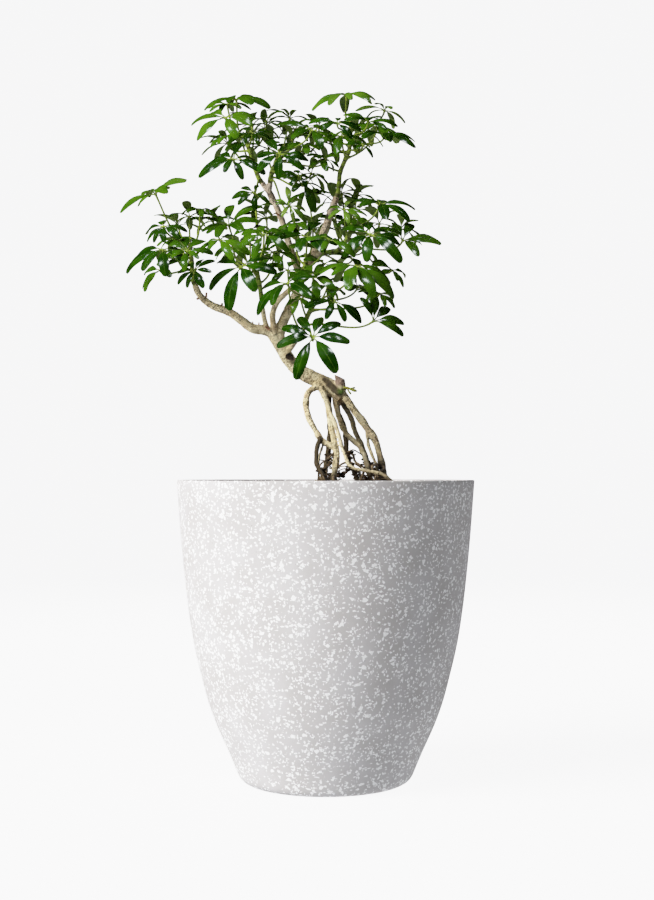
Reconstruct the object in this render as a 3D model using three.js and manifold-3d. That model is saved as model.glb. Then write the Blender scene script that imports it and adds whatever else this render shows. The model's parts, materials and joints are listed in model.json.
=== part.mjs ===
// A dwarf umbrella plant with raised roots, in a round planter of terrazzo look.
// Millimetres, +Z up. The origin is the middle of the pot's underside, and the plant's front faces -Y.
import * as THREE from 'three';
import { mergeVertices } from 'three/addons/utils/BufferGeometryUtils.js';
import Module from 'manifold-3d';

// Driving dimensions
const RIM_DIAMETER = 330;
const POT_HEIGHT = 332;
const FOOT_DIAMETER = 186;
const WALL = 9.5;
const LIP_ROUND = 1.2;
const POT_FLOOR = 14;
const FLOOR_COVE = 14;
const SOIL_LEVEL = 300;
const STEM_DIAMETER = 6;
const STALK_DIAMETER = 2.2;
const HUB_DIAMETER = 4;
const BLADE_THICK = 1.3;
const BLADE_WIDTH_SHARE = 0.3;
const BLADE_ARCH_SHARE = 0.17;

// Clear space between pieces that meet.
const GAP = 0.3;
const SOIL_GAP = 0.4;

// The plant's places are given as they show from the front, from this far off and this high, in the plane of
// the pot's axis: across (+ to the right), depth (+ to the back) and up. A place's own depth then spreads it
// or draws it in along the line of sight.
const EYE_DISTANCE = 1554;
const EYE_HEIGHT = 341;

// The plant grew towards a window on its front side, a little to its left.
const LIGHT = new THREE.Vector3(-0.2, -0.9, 0.4).normalize();
const UP = new THREE.Vector3(0, 0, 1);

const COLORS = { pot: 0xc9c7c4, soil: 0x2e241c, wood: 0x8d7b66, leaf: 0x2f6b1e };
const ROUGHNESS = { pot: 0.85, soil: 0.95, wood: 0.8, leaf: 0.35 };

const wasm = await Module();
wasm.setup();

function place(across, depth, up) {
  const spread = 1 + depth / EYE_DISTANCE;
  return new THREE.Vector3(across * spread, depth, EYE_HEIGHT + (up - EYE_HEIGHT) * spread);
}

// ---- Solids ----

function solidOf(geometry) {
  geometry.deleteAttribute('normal');
  geometry.deleteAttribute('uv');
  const welded = mergeVertices(geometry);
  return new wasm.Manifold(new wasm.Mesh({
    numProp: 3,
    vertProperties: Float32Array.from(welded.attributes.position.array),
    triVerts: Uint32Array.from(welded.index.array),
  }));
}

function geometryOf(solid) {
  const { vertProperties, triVerts } = solid.getMesh();
  const geometry = new THREE.BufferGeometry();
  geometry.setAttribute('position', new THREE.BufferAttribute(vertProperties, 3));
  geometry.setIndex(new THREE.BufferAttribute(triVerts, 1));
  const flat = geometry.toNonIndexed();
  flat.computeVertexNormals();
  return flat;
}

// A closed skin over rings of points that all run the same way round, with a flat face at both ends.
function loft(rings) {
  const sides = rings[0].length;
  const last = (rings.length - 1) * sides;
  const faces = [];
  for (let i = 2; i < sides; i++) {
    faces.push(0, i, i - 1);
    faces.push(last, last + i - 1, last + i);
  }
  for (let low = 0; low < last; low += sides) {
    const high = low + sides;
    for (let i = 0; i < sides; i++) {
      const j = (i + 1) % sides;
      faces.push(low + i, low + j, high + j);
      faces.push(low + i, high + j, high + i);
    }
  }
  return new THREE.BufferGeometry().setFromPoints(rings.flat()).setIndex(faces);
}

// A round limb along a curve, from one radius to the other, with its skin moved out by grown.
function limb(curve, startRadius, endRadius, sides, step, grown = 0) {
  const steps = Math.max(2, Math.round((curve.getLength() - grown) / step));
  const frames = curve.computeFrenetFrames(steps, false);
  const rings = [];
  for (let s = 0; s <= steps; s++) {
    const share = s / steps;
    const centre = curve.getPointAt(share);
    const radius = THREE.MathUtils.lerp(startRadius, endRadius, share) + grown;
    const ring = [];
    for (let i = 0; i < sides; i++) {
      const turn = (2 * Math.PI * i) / sides;
      ring.push(centre.clone()
        .addScaledVector(frames.normals[s], radius * Math.cos(turn))
        .addScaledVector(frames.binormals[s], radius * Math.sin(turn)));
    }
    rings.push(ring);
  }
  return solidOf(loft(rings));
}

function joined(solids) {
  return solids.reduce((whole, piece) => whole.add(piece));
}

function named(name, solid, stuff) {
  const material = new THREE.MeshStandardMaterial({ color: COLORS[stuff], roughness: ROUGHNESS[stuff] });
  const mesh = new THREE.Mesh(geometryOf(solid), material);
  mesh.name = name;
  return mesh;
}

// ---- Pot and soil: both are turned about the pot's axis ----

const POT_SIDES = 40;
const OUTER_BANDS = 8;

// The pot's outer radius at a height: a foot, a full round belly and a wall that ends nearly upright.
const POT_SIDE = new THREE.CatmullRomCurve3([
  [FOOT_DIAMETER / 2 + 4, 8], [107, 32], [120.5, 62], [130, 88], [138, 118], [145.5, 150], [151.5, 187],
  [156, 225], [160, 266], [RIM_DIAMETER / 2, POT_HEIGHT - LIP_ROUND],
].map(([radius, height]) => new THREE.Vector3(radius, height, 0)));

// The heights at which the wall's inner face is bent, from the floor's cove to the soil's edge.
const INNER_HEIGHTS = [POT_FLOOR + FLOOR_COVE, 80, 160, SOIL_LEVEL];

function turned(profile) {
  const outline = profile.map(([radius, height]) => new THREE.Vector2(radius, height));
  return new THREE.LatheGeometry(outline, POT_SIDES).rotateX(Math.PI / 2);
}

function outerRadius(height) {
  let low = 0;
  let high = 1;
  while (high - low > 1e-6) {
    const middle = (low + high) / 2;
    if (POT_SIDE.getPoint(middle).y < height) low = middle;
    else high = middle;
  }
  return POT_SIDE.getPoint(low).x;
}

// The wall's inner face as far as the soil's edge, moved inwards by inset.
function innerSide(inset) {
  return INNER_HEIGHTS.map((height) => [outerRadius(height) - WALL - inset, height]);
}

function potSolid() {
  const outer = POT_SIDE.getPoints(OUTER_BANDS).map((point) => [point.x, point.y]);
  const inner = innerSide(0);
  return solidOf(turned([
    [0, 0],
    [FOOT_DIAMETER / 2, 0],
    ...outer,
    [RIM_DIAMETER / 2 - LIP_ROUND, POT_HEIGHT],
    [RIM_DIAMETER / 2 - WALL + LIP_ROUND, POT_HEIGHT],
    [RIM_DIAMETER / 2 - WALL, POT_HEIGHT - LIP_ROUND],
    ...inner.toReversed(),
    [inner[0][0] - FLOOR_COVE, POT_FLOOR],
    [0, POT_FLOOR],
  ]));
}

// Soil fills the pot to just under its rim, with a heaped and pitted top.
const SOIL_RINGS = [136, 92, 46];
const SOIL_HEAP = 7;
const SOIL_PIT = 2.5;
const PIT_ACROSS = 11;
const PIT_ALONG = 9;

function soilSolid() {
  const side = innerSide(SOIL_GAP);
  const top = SOIL_RINGS.map((radius) => [radius, SOIL_LEVEL]);
  const geometry = turned([
    [0, POT_FLOOR + SOIL_GAP],
    [side[0][0] - FLOOR_COVE, POT_FLOOR + SOIL_GAP],
    ...side,
    ...top,
    [0, SOIL_LEVEL],
  ]);
  const position = geometry.getAttribute('position');
  for (let i = 0; i < position.count; i++) {
    const x = position.getX(i);
    const y = position.getY(i);
    const radius = Math.hypot(x, y);
    const onTop = position.getZ(i) > SOIL_LEVEL - 1 && radius < SOIL_RINGS[0] + 1;
    if (!onTop) continue;
    const heap = SOIL_HEAP * (1 - radius / SOIL_RINGS[0]);
    const pits = SOIL_PIT * Math.sin(x / PIT_ACROSS) * Math.cos(y / PIT_ALONG);
    position.setZ(i, SOIL_LEVEL + heap + pits);
  }
  return solidOf(geometry);
}

// ---- Wood: one grown piece of trunk, raised roots and branches ----

const TRUNK_SIDES = 8;
const TRUNK_STEP = 9;
const ROOT_SIDES = 6;
const ROOT_STEP = 16;
const BRANCH_SIDES = 6;
const BRANCH_STEP = 14;

// Below the soil each root runs straight down for two steps of this depth.
const ROOT_DEEP = 22;

// Each limb: places across and up, the depths at its two ends, and the diameters there.
function path(places, startDepth, endDepth) {
  const last = places.length - 1;
  return new THREE.CatmullRomCurve3(places.map(([across, up], i) => (
    place(across, THREE.MathUtils.lerp(startDepth, endDepth, i / last), up))));
}

const TRUNK = {
  places: [[19, 427], [9, 434], [-2, 440], [-13, 445], [-26, 452], [-40, 465], [-50, 481], [-60, 497]],
  depths: [4, 0],
  diameters: [19, 14],
};

const ROOTS = [
  {
    places: [[-6, 438], [-18, 431], [-22, 420], [-20, 405], [-13, 390], [-3, 375], [10, 366]],
    depths: [-4, -26],
    diameters: [7.5, 6],
  },
  {
    places: [[-6, 378], [-10, 366], [-10, 351], [-4, 338], [2, 322]],
    depths: [-20, -40],
    diameters: [5.5, 5],
  },
  {
    places: [[-2, 374], [-7, 358], [-8, 334], [-10, 318]],
    depths: [-18, -6],
    diameters: [3, 2.6],
  },
  {
    places: [[-6, 436], [2, 417], [5, 396], [10, 374], [13, 358], [8, 333], [6, 318]],
    depths: [-5, -38],
    diameters: [7, 6],
  },
  {
    places: [[3.5, 410], [11, 394], [20, 364], [28, 347], [48, 342], [66, 337], [80, 320]],
    depths: [-13, -48],
    diameters: [4.6, 4],
  },
  {
    places: [[9, 430], [15, 401], [23, 384], [38, 369], [45, 354], [49, 336], [51, 318]],
    depths: [2, -16],
    diameters: [6.5, 5.5],
  },
  {
    places: [[14, 424], [26, 406], [34, 384], [42, 366], [49, 340], [53, 318]],
    depths: [8, 34],
    diameters: [6.5, 5.5],
  },
  {
    places: [[18, 430], [28, 415], [42, 396], [55, 377], [61, 357], [65, 339], [70, 318]],
    depths: [0, 8],
    diameters: [9, 7.5],
  },
  {
    places: [[45, 392], [49, 367], [56, 350], [60, 334], [62, 318]],
    depths: [3, -26],
    diameters: [4, 3.5],
  },
  {
    places: [[4, 436], [3.5, 418], [5, 396], [4, 372], [1, 350], [-4, 318]],
    depths: [6, 44],
    diameters: [7.5, 6],
  },
  {
    places: [[12, 430], [14, 408], [22, 386], [24, 358], [34, 336], [36, 318]],
    depths: [8, 56],
    diameters: [7, 6],
  },
];

const BRANCHES = {
  left: {
    places: [[-58, 495], [-68, 499], [-81, 501], [-95, 511], [-107, 519], [-129, 528], [-141, 539],
      [-146, 550]],
    depths: [0, -8],
    diameters: [12, 7],
  },
  top_right: {
    places: [[-51, 488], [-51, 499], [-43, 518], [-33, 538], [-26, 561], [-15, 579], [-9, 594], [-1, 612],
      [7, 635], [12, 648]],
    depths: [0, 6],
    diameters: [13, 7.5],
  },
  centre: {
    places: [[-57, 496], [-59, 518], [-53, 532], [-44, 541], [-34, 550]],
    depths: [-4, -18],
    diameters: [7.5, 6],
  },
  top_left: {
    places: [[-28, 556], [-33, 572], [-41, 596], [-48, 620], [-54, 635], [-62, 652], [-71, 664]],
    depths: [2, -2],
    diameters: [8.5, 6.5],
  },
  top_middle: { places: [[-59, 643], [-63, 654], [-62, 664]], depths: [-1, -5], diameters: [7, 6.5] },
  centre_left: { places: [[-64, 497], [-69, 515], [-71, 530]], depths: [-3, -8], diameters: [6, 5] },
  front_low: { places: [[-44, 474], [-36, 484], [-28, 496]], depths: [-3, -16], diameters: [8, 6] },
  right: { places: [[-16, 577], [-8, 583], [-2, 585]], depths: [3, -4], diameters: [7, 6] },
  back: { places: [[-33, 540], [-30, 552], [-24, 566], [-18, 578]], depths: [3, 34], diameters: [8, 6] },
};

// The stub of a stem pruned near the roots, cut across, and the healed knot of another on the trunk.
const STUB = { places: [[17, 428], [17, 438], [15, 449]], depths: [-2, -5], diameters: [11.5, 10] };
const STUB_STEP = 12;
const KNOT = { places: [[-39, 466], [-40, 467], [-41, 468]], depths: [-6, -10.5], diameters: [8, 5.5] };
const KNOT_STEP = 3;

function woodLimb({ places, depths, diameters }, sides, step, grown = 0) {
  const curve = path(places, depths[0], depths[1]);
  return limb(curve, diameters[0] / 2, diameters[1] / 2, sides, step, grown);
}

function rootSolids(grown) {
  return ROOTS.map((root) => {
    const [across, up] = root.places[root.places.length - 1];
    const deep = {
      ...root,
      places: [...root.places, [across, up - ROOT_DEEP], [across, up - 2 * ROOT_DEEP - grown]],
    };
    return woodLimb(deep, ROOT_SIDES, ROOT_STEP, grown);
  });
}

// The soil with a plain hole for each root.
function holedSoil() {
  return rootSolids(SOIL_GAP).reduce((soil, root) => soil.subtract(root), soilSolid());
}

function woodSolid() {
  return joined([
    woodLimb(TRUNK, TRUNK_SIDES, TRUNK_STEP),
    ...rootSolids(0),
    ...Object.values(BRANCHES).map((branch) => woodLimb(branch, BRANCH_SIDES, BRANCH_STEP)),
    woodLimb(STUB, TRUNK_SIDES, STUB_STEP),
    woodLimb(KNOT, BRANCH_SIDES, KNOT_STEP),
  ]);
}

// ---- Leafy stems: a green shoot on the end of each branch, with its leaves ----

// A leaf: the share of the green shoot where its stalk springs, its hub (across, depth, up), the length of
// its longest leaflet, how many leaflets it has, and where the tips seen from the front lie (across and up
// from the hub).
function leaf(springs, hub, length, count, tips) {
  return { springs, hub: place(...hub), length, count, tips };
}

const SHOOTS = {
  top_left: {
    places: [[-78, 678], [-82, 691], [-86, 703], [-90, 716]],
    depths: [-3, -6],
    leaves: [
      leaf(1, [-100, -8, 757], 42, 7, [[-37, -9], [-8, -10], [20, 8], [39, -12], [20, -14], [-8, 6]]),
      leaf(0.9, [-112, -45, 737], 40, 7, [[-18, 11], [-39, -6], [-31, -27], [15, -28], [31, -12], [18, 5]]),
      leaf(0.7, [-109, 35, 708], 38, 7, [[-30, 3], [-31, -12], [-10, 9], [3, -2], [11, 7]]),
      leaf(0.5, [-103, -48, 690], 40, 8, [
        [-21, 8], [-30, -7], [-37, -22], [-13, -14], [6, -25], [19, 5], [12, 25],
      ]),
      leaf(0.8, [-82, -24, 720], 32, 6, [[-14, 9], [8, -16], [25, 1]]),
      leaf(0.95, [-68, 38, 725], 28, 6, [[0, 17], [20, 4]]),
      leaf(0, [-80, -40, 653], 26, 6, [[-16, 7], [-25, -4], [-18, -14], [4, 11]]),
      leaf(0.6, [-82, 48, 728], 38, 6, [[-24, 8], [22, 6]]),
    ],
  },
  top_middle: {
    places: [[-60, 676], [-56, 686], [-52, 697]],
    depths: [-6, -8],
    leaves: [
      leaf(1, [-40, 20, 736], 32, 7, [[-24, 1], [-7, 6], [2, 6]]),
      leaf(0.9, [-51, -55, 696], 36, 7, [[-1, -30], [31, -7], [28, -17], [-25, -1], [-9, 22], [1, 11]]),
      leaf(1, [-16, -22, 723], 41, 6, [[-39, 9], [14, 8]]),
      leaf(0.8, [-37, 14, 711], 34, 6, [[31, 4], [-12, 14]]),
      leaf(0.3, [-30, -42, 672], 22, 6, [[15, -4], [-4, 9]]),
      leaf(0.1, [-27, -22, 663], 38, 5, [[15, -34], [-10, -13], [16, -21]]),
      leaf(0.7, [1, 4, 690], 24, 5, [[-10, -3], [14, -10]]),
      leaf(0, [-41, -52, 638], 26, 8, [
        [1, 23], [18, -3], [-12, 10], [21, -16], [8, -20], [-4, -16], [-11, 3],
      ]),
    ],
  },
  top_right: {
    places: [[15, 664], [16, 675], [21, 688], [26, 700], [28, 718], [28, 734]],
    depths: [6, 4],
    leaves: [
      leaf(1, [23, 5, 763], 44, 8, [
        [-43, -16], [-36, -21], [-28, -19], [0, -9], [32, -8], [28, -12], [11, -12],
      ]),
      leaf(0.9, [13, -32, 731], 34, 6, [[-32, 3], [2, 9], [-18, -11], [16, 0]]),
      leaf(0.9, [66, 30, 745], 36, 6, [[-34, -3], [7, -4], [-12, 2]]),
      leaf(0.8, [48, -38, 732], 35, 6, [[33, -1], [-26, -4], [-11, 8], [-3, -3]]),
      leaf(0.7, [66, -12, 717], 38, 6, [[-26, -9], [18, -1], [35, -3], [35, -16], [4, -15]]),
      leaf(0.6, [42, -30, 706], 20, 5, [[11, -12], [-8, -6]]),
      leaf(0.6, [5, 34, 711], 30, 5, [[9, -21], [-18, 4]]),
      leaf(0.7, [34, 62, 722], 38, 6, [[24, 8], [-20, 8]]),
    ],
  },
  right: {
    places: [[14, 589], [23, 600], [29, 613]],
    depths: [-9, -20],
    leaves: [
      leaf(0.9, [50, -52, 606], 45, 8, [[-33, 10], [-25, -12], [-8, -33], [35, -31], [33, -11], [16, 8]]),
      leaf(0.4, [86, -8, 599], 43, 7, [[-17, 21], [-14, 12], [-3, 23], [10, 25], [42, 9], [18, 0]]),
      leaf(1, [60, -22, 639], 42, 7, [[41, -3], [33, -21], [5, -22], [-20, -8], [3, 6]]),
      leaf(0.8, [21, -34, 634], 28, 6, [[-20, 2], [8, 14]]),
      leaf(0.9, [32, 38, 633], 34, 6, [[8, 27], [18, 11], [-10, 16]]),
      leaf(0.6, [10, 34, 641], 36, 6, [[-33, 8], [-6, 18]]),
      leaf(0.7, [60, 46, 618], 38, 6, [[24, 10], [-16, 14]]),
    ],
  },
  front_low: {
    places: [[-21, 513], [-16, 523], [-9, 534]],
    depths: [-22, -36],
    leaves: [
      leaf(0.95, [33, -72, 571], 48, 8, [
        [-26, -12], [-15, -16], [-8, -31], [26, -35], [39, -37], [45, -19], [-40, -8],
      ]),
      leaf(0.9, [36, -18, 547], 34, 6, [[16, -11], [-12, 16]]),
      leaf(0.6, [10, -78, 531], 36, 5, [[12, -22], [29, -22], [-6, 16]]),
      leaf(0.3, [-14, -92, 491], 50, 8, [
        [-18, -46], [25, -39], [39, -6], [28, 18], [2, 25], [-17, 23], [-31, 15], [-40, -7],
      ]),
      leaf(0.15, [53, -48, 509], 37, 5, [[-5, 26], [5, 30], [16, 21], [36, 13], [34, -6]]),
      leaf(0, [-42, -39, 566], 30, 5, [[-28, 5], [6, 12]]),
      leaf(1, [-43, -76, 551], 44, 7, [[-31, -6], [-30, -35], [-18, -28], [27, -19], [31, 7]]),
    ],
  },
  centre: {
    places: [[-26, 562], [-23, 570], [-22, 580]],
    depths: [-20, -24],
    leaves: [
      leaf(1, [-21, -46, 603], 46, 6, [[-45, -9], [-38, 9], [14, 22], [-9, -21]]),
      leaf(0.5, [4, -60, 600], 33, 5, [[28, -20], [-8, -14]]),
    ],
  },
  centre_left: {
    places: [[-73, 545], [-75, 556], [-78, 572]],
    depths: [-10, -14],
    leaves: [
      leaf(0.8, [-94, -50, 570], 50, 6, [[-36, -23], [-13, -49], [17, -31], [-27, 11]]),
      leaf(0.9, [-69, -74, 606], 36, 6, [[-25, 3], [-11, -28], [20, 6]]),
      leaf(1, [-108, -4, 616], 42, 8, [[-4, 28], [37, 24], [-23, 14], [-32, -5], [-24, -11], [14, -14]]),
      leaf(0.6, [-118, -34, 600], 38, 6, [[-17, -3], [-14, -17], [16, -25], [33, -18]]),
      leaf(1, [-66, 38, 623], 34, 7, [[-32, -4], [10, 3], [-10, 6], [4, 18]]),
      leaf(0.9, [-126, 26, 621], 34, 6, [[-32, -4], [10, 12]]),
      leaf(0.5, [-92, 44, 590], 38, 6, [[-22, 10], [22, 8]]),
    ],
  },
  left: {
    places: [[-149, 566], [-150, 580], [-152, 598]],
    depths: [-9, -11],
    leaves: [
      leaf(0.95, [-190, -16, 651], 44, 8, [[-40, -18], [-23, -10], [-10, -6], [33, 7], [22, -4], [9, 11]]),
      leaf(0.95, [-181, -40, 615], 32, 7, [[-25, -7], [-19, -15], [-9, -19], [-3, -21], [-9, 9]]),
      leaf(0.6, [-182, -54, 589], 44, 7, [[-32, -3], [-9, -9], [-41, -24], [-24, -23]]),
      leaf(0.3, [-184, -18, 566], 34, 7, [[-20, 1], [-16, -26], [15, -11], [-1, 15], [13, 13]]),
      leaf(0.8, [-155, -58, 587], 32, 8, [[-25, 13], [-7, 19], [16, 16], [-25, -4], [-15, -9], [14, -10]]),
      leaf(0.2, [-146, -50, 566], 30, 8, [
        [-21, -2], [-20, -13], [-8, -20], [19, -3], [20, 13], [9, 14], [-5, 11],
      ]),
      leaf(1, [-165, 44, 616], 34, 6, [[-4, -14], [-25, 8], [16, 8]]),
      leaf(0.5, [-160, 56, 590], 34, 6, [[-20, 8], [18, 8]]),
    ],
  },
  back: {
    places: [[-10, 592], [-6, 604]],
    depths: [39, 44],
    leaves: [
      leaf(0.6, [-44, 74, 612], 40, 7, []),
      leaf(0.9, [6, 92, 622], 40, 7, []),
      leaf(1, [-20, 64, 652], 38, 6, []),
      leaf(0.3, [30, 58, 578], 38, 7, []),
    ],
  },
};

// Leaflets stand this far apart round the hub (radians), and may be this short against the longest.
const LEAFLET_SPACING = 0.74;
const REACH_SHARES = [0.7, 0.8, 0.9, 1];
const HIDDEN_SHARE = 0.78;
const HIDDEN_STEP = 0.06;
const SPACING_PASSES = 40;

// A leaf mostly leans the way its stalk runs and to the light, with drooping leaflets rolled to the light.
const STALK_LEAN = 0.9;
const LIGHT_LEAN = 0.4;
const LEAFLET_DROOP = 0.3;
const LEAFLET_ROLL = 0.5;
const RISE_RANGE = 0.3;

// The ways a leaf may face, tilted from straight up to all sides, and how much its leaflets may lift to that
// side; what it costs to stray from the usual way is weighed against square millimetres of misplaced tips.
const TILTS = [0, 0.25, 0.5, 0.75, 1, 1.25];
const TILT_TURNS = 12;
const LIFTS = [-0.45, -0.3, -0.15, 0, 0.15];
const STRAY_COST = 60;
const LIFT_COST = 40;

// The tip of a leaflet that shows at across and up from its hub: of the places on that line of sight which
// suit a leaflet's length, the one nearest to the leaf's own cone.
function tipInDepth([across, up], facing, lift, length) {
  const shown = Math.hypot(across, up);
  let best = null;
  for (const share of REACH_SHARES) {
    const reach = Math.max(share * length, shown + 1);
    for (const side of [-1, 1]) {
      const tip = new THREE.Vector3(across, side * Math.sqrt(reach * reach - shown * shown), up);
      const off = Math.abs(tip.dot(facing) / reach - lift);
      if (!best || off < best.off - 1e-9) best = { off, tip };
    }
  }
  return best.tip;
}

function widestGap(leaflets) {
  leaflets.sort((a, b) => a.turn - b.turn);
  let widest = { gap: 0, turn: 0 };
  leaflets.forEach(({ turn }, i) => {
    const next = i + 1 < leaflets.length ? leaflets[i + 1].turn : leaflets[0].turn + 2 * Math.PI;
    if (next - turn > widest.gap) widest = { gap: next - turn, turn: turn + (next - turn) / 2 };
  });
  return widest;
}

// Moves leaflets apart until none stands nearer to its neighbour than their spacing.
function spaceOut(leaflets) {
  leaflets.sort((a, b) => a.turn - b.turn);
  const apart = Math.min(LEAFLET_SPACING, (1.92 * Math.PI) / leaflets.length);
  for (let pass = 0; pass < SPACING_PASSES; pass++) {
    leaflets.forEach((leaflet, i) => {
      const wraps = i + 1 === leaflets.length;
      const next = leaflets[wraps ? 0 : i + 1];
      const short = apart - (next.turn + (wraps ? 2 * Math.PI : 0) - leaflet.turn);
      if (short <= 0) return;
      leaflet.turn -= short / 2;
      next.turn += short / 2;
    });
  }
}

// The leaflets of a leaf that faces one way: each has its turn round the hub, its rise towards the facing
// direction and its reach. Leaflets that the front ones hide fill the widest gaps.
function leafletsFacing({ length, count, tips }, facing, lift) {
  const first = new THREE.Vector3(1, 0, 0).addScaledVector(facing, -facing.x).normalize();
  const second = facing.clone().cross(first);
  const leaflets = tips.map((shown) => {
    const tip = tipInDepth(shown, facing, lift, length);
    const reach = tip.length();
    const rise = THREE.MathUtils.clamp(tip.dot(facing) / reach, lift - RISE_RANGE, lift + RISE_RANGE);
    return { turn: Math.atan2(tip.dot(second), tip.dot(first)), rise, reach, shown };
  });
  if (!leaflets.length) leaflets.push({ turn: 0.4, rise: lift, reach: length });
  while (leaflets.length < count) {
    const { gap, turn } = widestGap(leaflets);
    if (gap < 1.5 * LEAFLET_SPACING) break;
    const reach = length * (HIDDEN_SHARE + HIDDEN_STEP * (leaflets.length % 4));
    leaflets.push({ turn, rise: lift, reach });
  }
  spaceOut(leaflets);
  const outward = (turn) => new THREE.Vector3()
    .addScaledVector(first, Math.cos(turn))
    .addScaledVector(second, Math.sin(turn));
  return leaflets.map((leaflet) => {
    const { turn, rise } = leaflet;
    const along = outward(turn).multiplyScalar(Math.sqrt(1 - rise * rise)).addScaledVector(facing, rise);
    return { ...leaflet, along, outward, facing };
  });
}

// The mean square of how far a leaf's tips stand from the places where they show.
function misfit(leaflets) {
  const seen = leaflets.filter(({ shown }) => shown);
  const off = seen.map(({ along, reach, shown }) => (
    (along.x * reach - shown[0]) ** 2 + (along.z * reach - shown[1]) ** 2));
  return off.reduce((sum, square) => sum + square, 0) / Math.max(1, seen.length);
}

// A leaf faces between the way its stalk runs, straight up and the light, but turns from there as far as the
// tips of its leaflets show that it does.
function leafletsOf(leafAt) {
  const { spring, hub } = leafAt;
  const usual = hub.clone().sub(spring).normalize().multiplyScalar(STALK_LEAN)
    .add(UP)
    .addScaledVector(LIGHT, LIGHT_LEAN)
    .normalize();
  let best = { cost: Infinity };
  for (const tilt of TILTS) {
    for (let side = 0; side < TILT_TURNS; side++) {
      const facing = new THREE.Vector3().setFromSphericalCoords(1, tilt, (2 * Math.PI * side) / TILT_TURNS);
      facing.set(facing.z, facing.x, facing.y);
      for (const lift of LIFTS) {
        const leaflets = leafletsFacing(leafAt, facing, lift);
        const stray = STRAY_COST * (1 - facing.dot(usual)) + LIFT_COST * (lift + LEAFLET_DROOP) ** 2;
        const cost = misfit(leaflets) + stray;
        if (cost < best.cost - 1e-9) best = { cost, leaflets };
      }
    }
  }
  return best.leaflets.map((leaflet) => {
    const { along, facing } = leaflet;
    const side = along.clone().cross(facing.clone().addScaledVector(LIGHT, LEAFLET_ROLL)).normalize();
    return { ...leaflet, side, top: side.clone().cross(along), hub };
  });
}

// Where a blade's rings lie along it, and their half width as a share of the widest.
const BLADE_RINGS = [[0.42, 0.94], [0.8, 0.86]];

function bladeCentre({ hub, along, top, reach }, share) {
  return hub.clone()
    .addScaledVector(along, share * reach)
    .addScaledVector(top, 4 * share * (1 - share) * BLADE_ARCH_SHARE * reach);
}

// One closed skin over the hub and all the leaflets that spread from it: each leaflet's three-cornered
// section (edge, rib below, edge) starts from hub corners that it shares with its neighbours.
function umbrellaSolid(leaflets) {
  const { hub, facing, outward } = leaflets[0];
  const count = leaflets.length;
  const radius = HUB_DIAMETER / 2;
  const points = [radius / 2, -radius].map((above) => hub.clone().addScaledVector(facing, above));
  const faces = [];
  const corners = leaflets.map(({ turn }, i) => {
    const next = leaflets[(i + 1) % count].turn + (i + 1 === count ? 2 * Math.PI : 0);
    return points.push(hub.clone().addScaledVector(outward((turn + next) / 2), radius)) - 1;
  });
  leaflets.forEach((leaflet, i) => {
    const before = corners[(i + count - 1) % count];
    const after = corners[i];
    const rib = points.push(hub.clone()
      .addScaledVector(leaflet.along, radius)
      .addScaledVector(leaflet.top, -BLADE_THICK)) - 1;
    faces.push(before, after, 0);
    faces.push(rib, before, 1);
    faces.push(after, rib, 1);
    let ring = [before, rib, after];
    const half = (BLADE_WIDTH_SHARE * leaflet.reach) / 2;
    for (const [share, wide] of BLADE_RINGS) {
      const next = [[half * wide, 0], [0, -BLADE_THICK], [-half * wide, 0]].map(([aside, above]) => (
        points.push(bladeCentre(leaflet, share)
          .addScaledVector(leaflet.side, aside)
          .addScaledVector(leaflet.top, above)) - 1));
      for (let k = 0; k < 3; k++) {
        const m = (k + 1) % 3;
        faces.push(ring[k], ring[m], next[m]);
        faces.push(ring[k], next[m], next[k]);
      }
      ring = next;
    }
    const tip = points.push(bladeCentre(leaflet, 1)) - 1;
    for (let k = 0; k < 3; k++) {
      faces.push(ring[k], ring[(k + 1) % 3], tip);
    }
  });
  const geometry = new THREE.BufferGeometry().setFromPoints(points);
  geometry.setIndex(faces);
  return solidOf(geometry);
}

const STALK_SIDES = 4;
const STALK_STEP = 18;
const STALK_OUT = 0.3;
const STALK_UP = 0.1;
const STALK_BEND = 0.35;
const STALK_TAPER = 0.77;

// A stalk springs outwards from the shoot and bends up to meet its hub from below.
function stalkSolid({ spring, hub }, facing) {
  const reach = hub.distanceTo(spring);
  const away = hub.clone().sub(spring).setZ(0).normalize();
  const curve = new THREE.CubicBezierCurve3(
    spring,
    spring.clone().addScaledVector(away, STALK_OUT * reach).addScaledVector(UP, STALK_UP * reach),
    hub.clone().addScaledVector(facing, -STALK_BEND * reach),
    hub,
  );
  return limb(curve, STALK_DIAMETER / 2, (STALK_TAPER * STALK_DIAMETER) / 2, STALK_SIDES, STALK_STEP);
}

const SHOOT_SIDES = 5;
const SHOOT_STEP = 12;
const SHOOT_TAPER = 0.77;
const FIRST_SPRING = 0.06;
const LAST_SPRING = 0.96;

function leafSolids(stem, leafOn) {
  const spring = stem.getPointAt(THREE.MathUtils.lerp(FIRST_SPRING, LAST_SPRING, leafOn.springs));
  const grown = { ...leafOn, spring };
  const leaflets = leafletsOf(grown);
  return [stalkSolid(grown, leaflets[0].facing), umbrellaSolid(leaflets)];
}

// A shoot goes on from the end of its branch, in the same direction for this far.
const SHOOT_START = 5;

function shootCurve(name) {
  const branch = BRANCHES[name];
  const wood = path(branch.places, branch.depths[0], branch.depths[1]);
  const end = wood.getPoint(1);
  const onwards = wood.getTangent(1);
  const { places, depths } = SHOOTS[name];
  return new THREE.CatmullRomCurve3([
    end.clone().addScaledVector(onwards, GAP),
    end.clone().addScaledVector(onwards, SHOOT_START),
    ...path(places, depths[0], depths[1]).points,
  ]);
}

function shootSolid(name) {
  const stem = shootCurve(name);
  const wood = limb(stem, STEM_DIAMETER / 2, (SHOOT_TAPER * STEM_DIAMETER) / 2, SHOOT_SIDES, SHOOT_STEP);
  return joined([wood, ...SHOOTS[name].leaves.flatMap((leaf) => leafSolids(stem, leaf))]);
}

// ---- The whole plant ----

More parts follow.
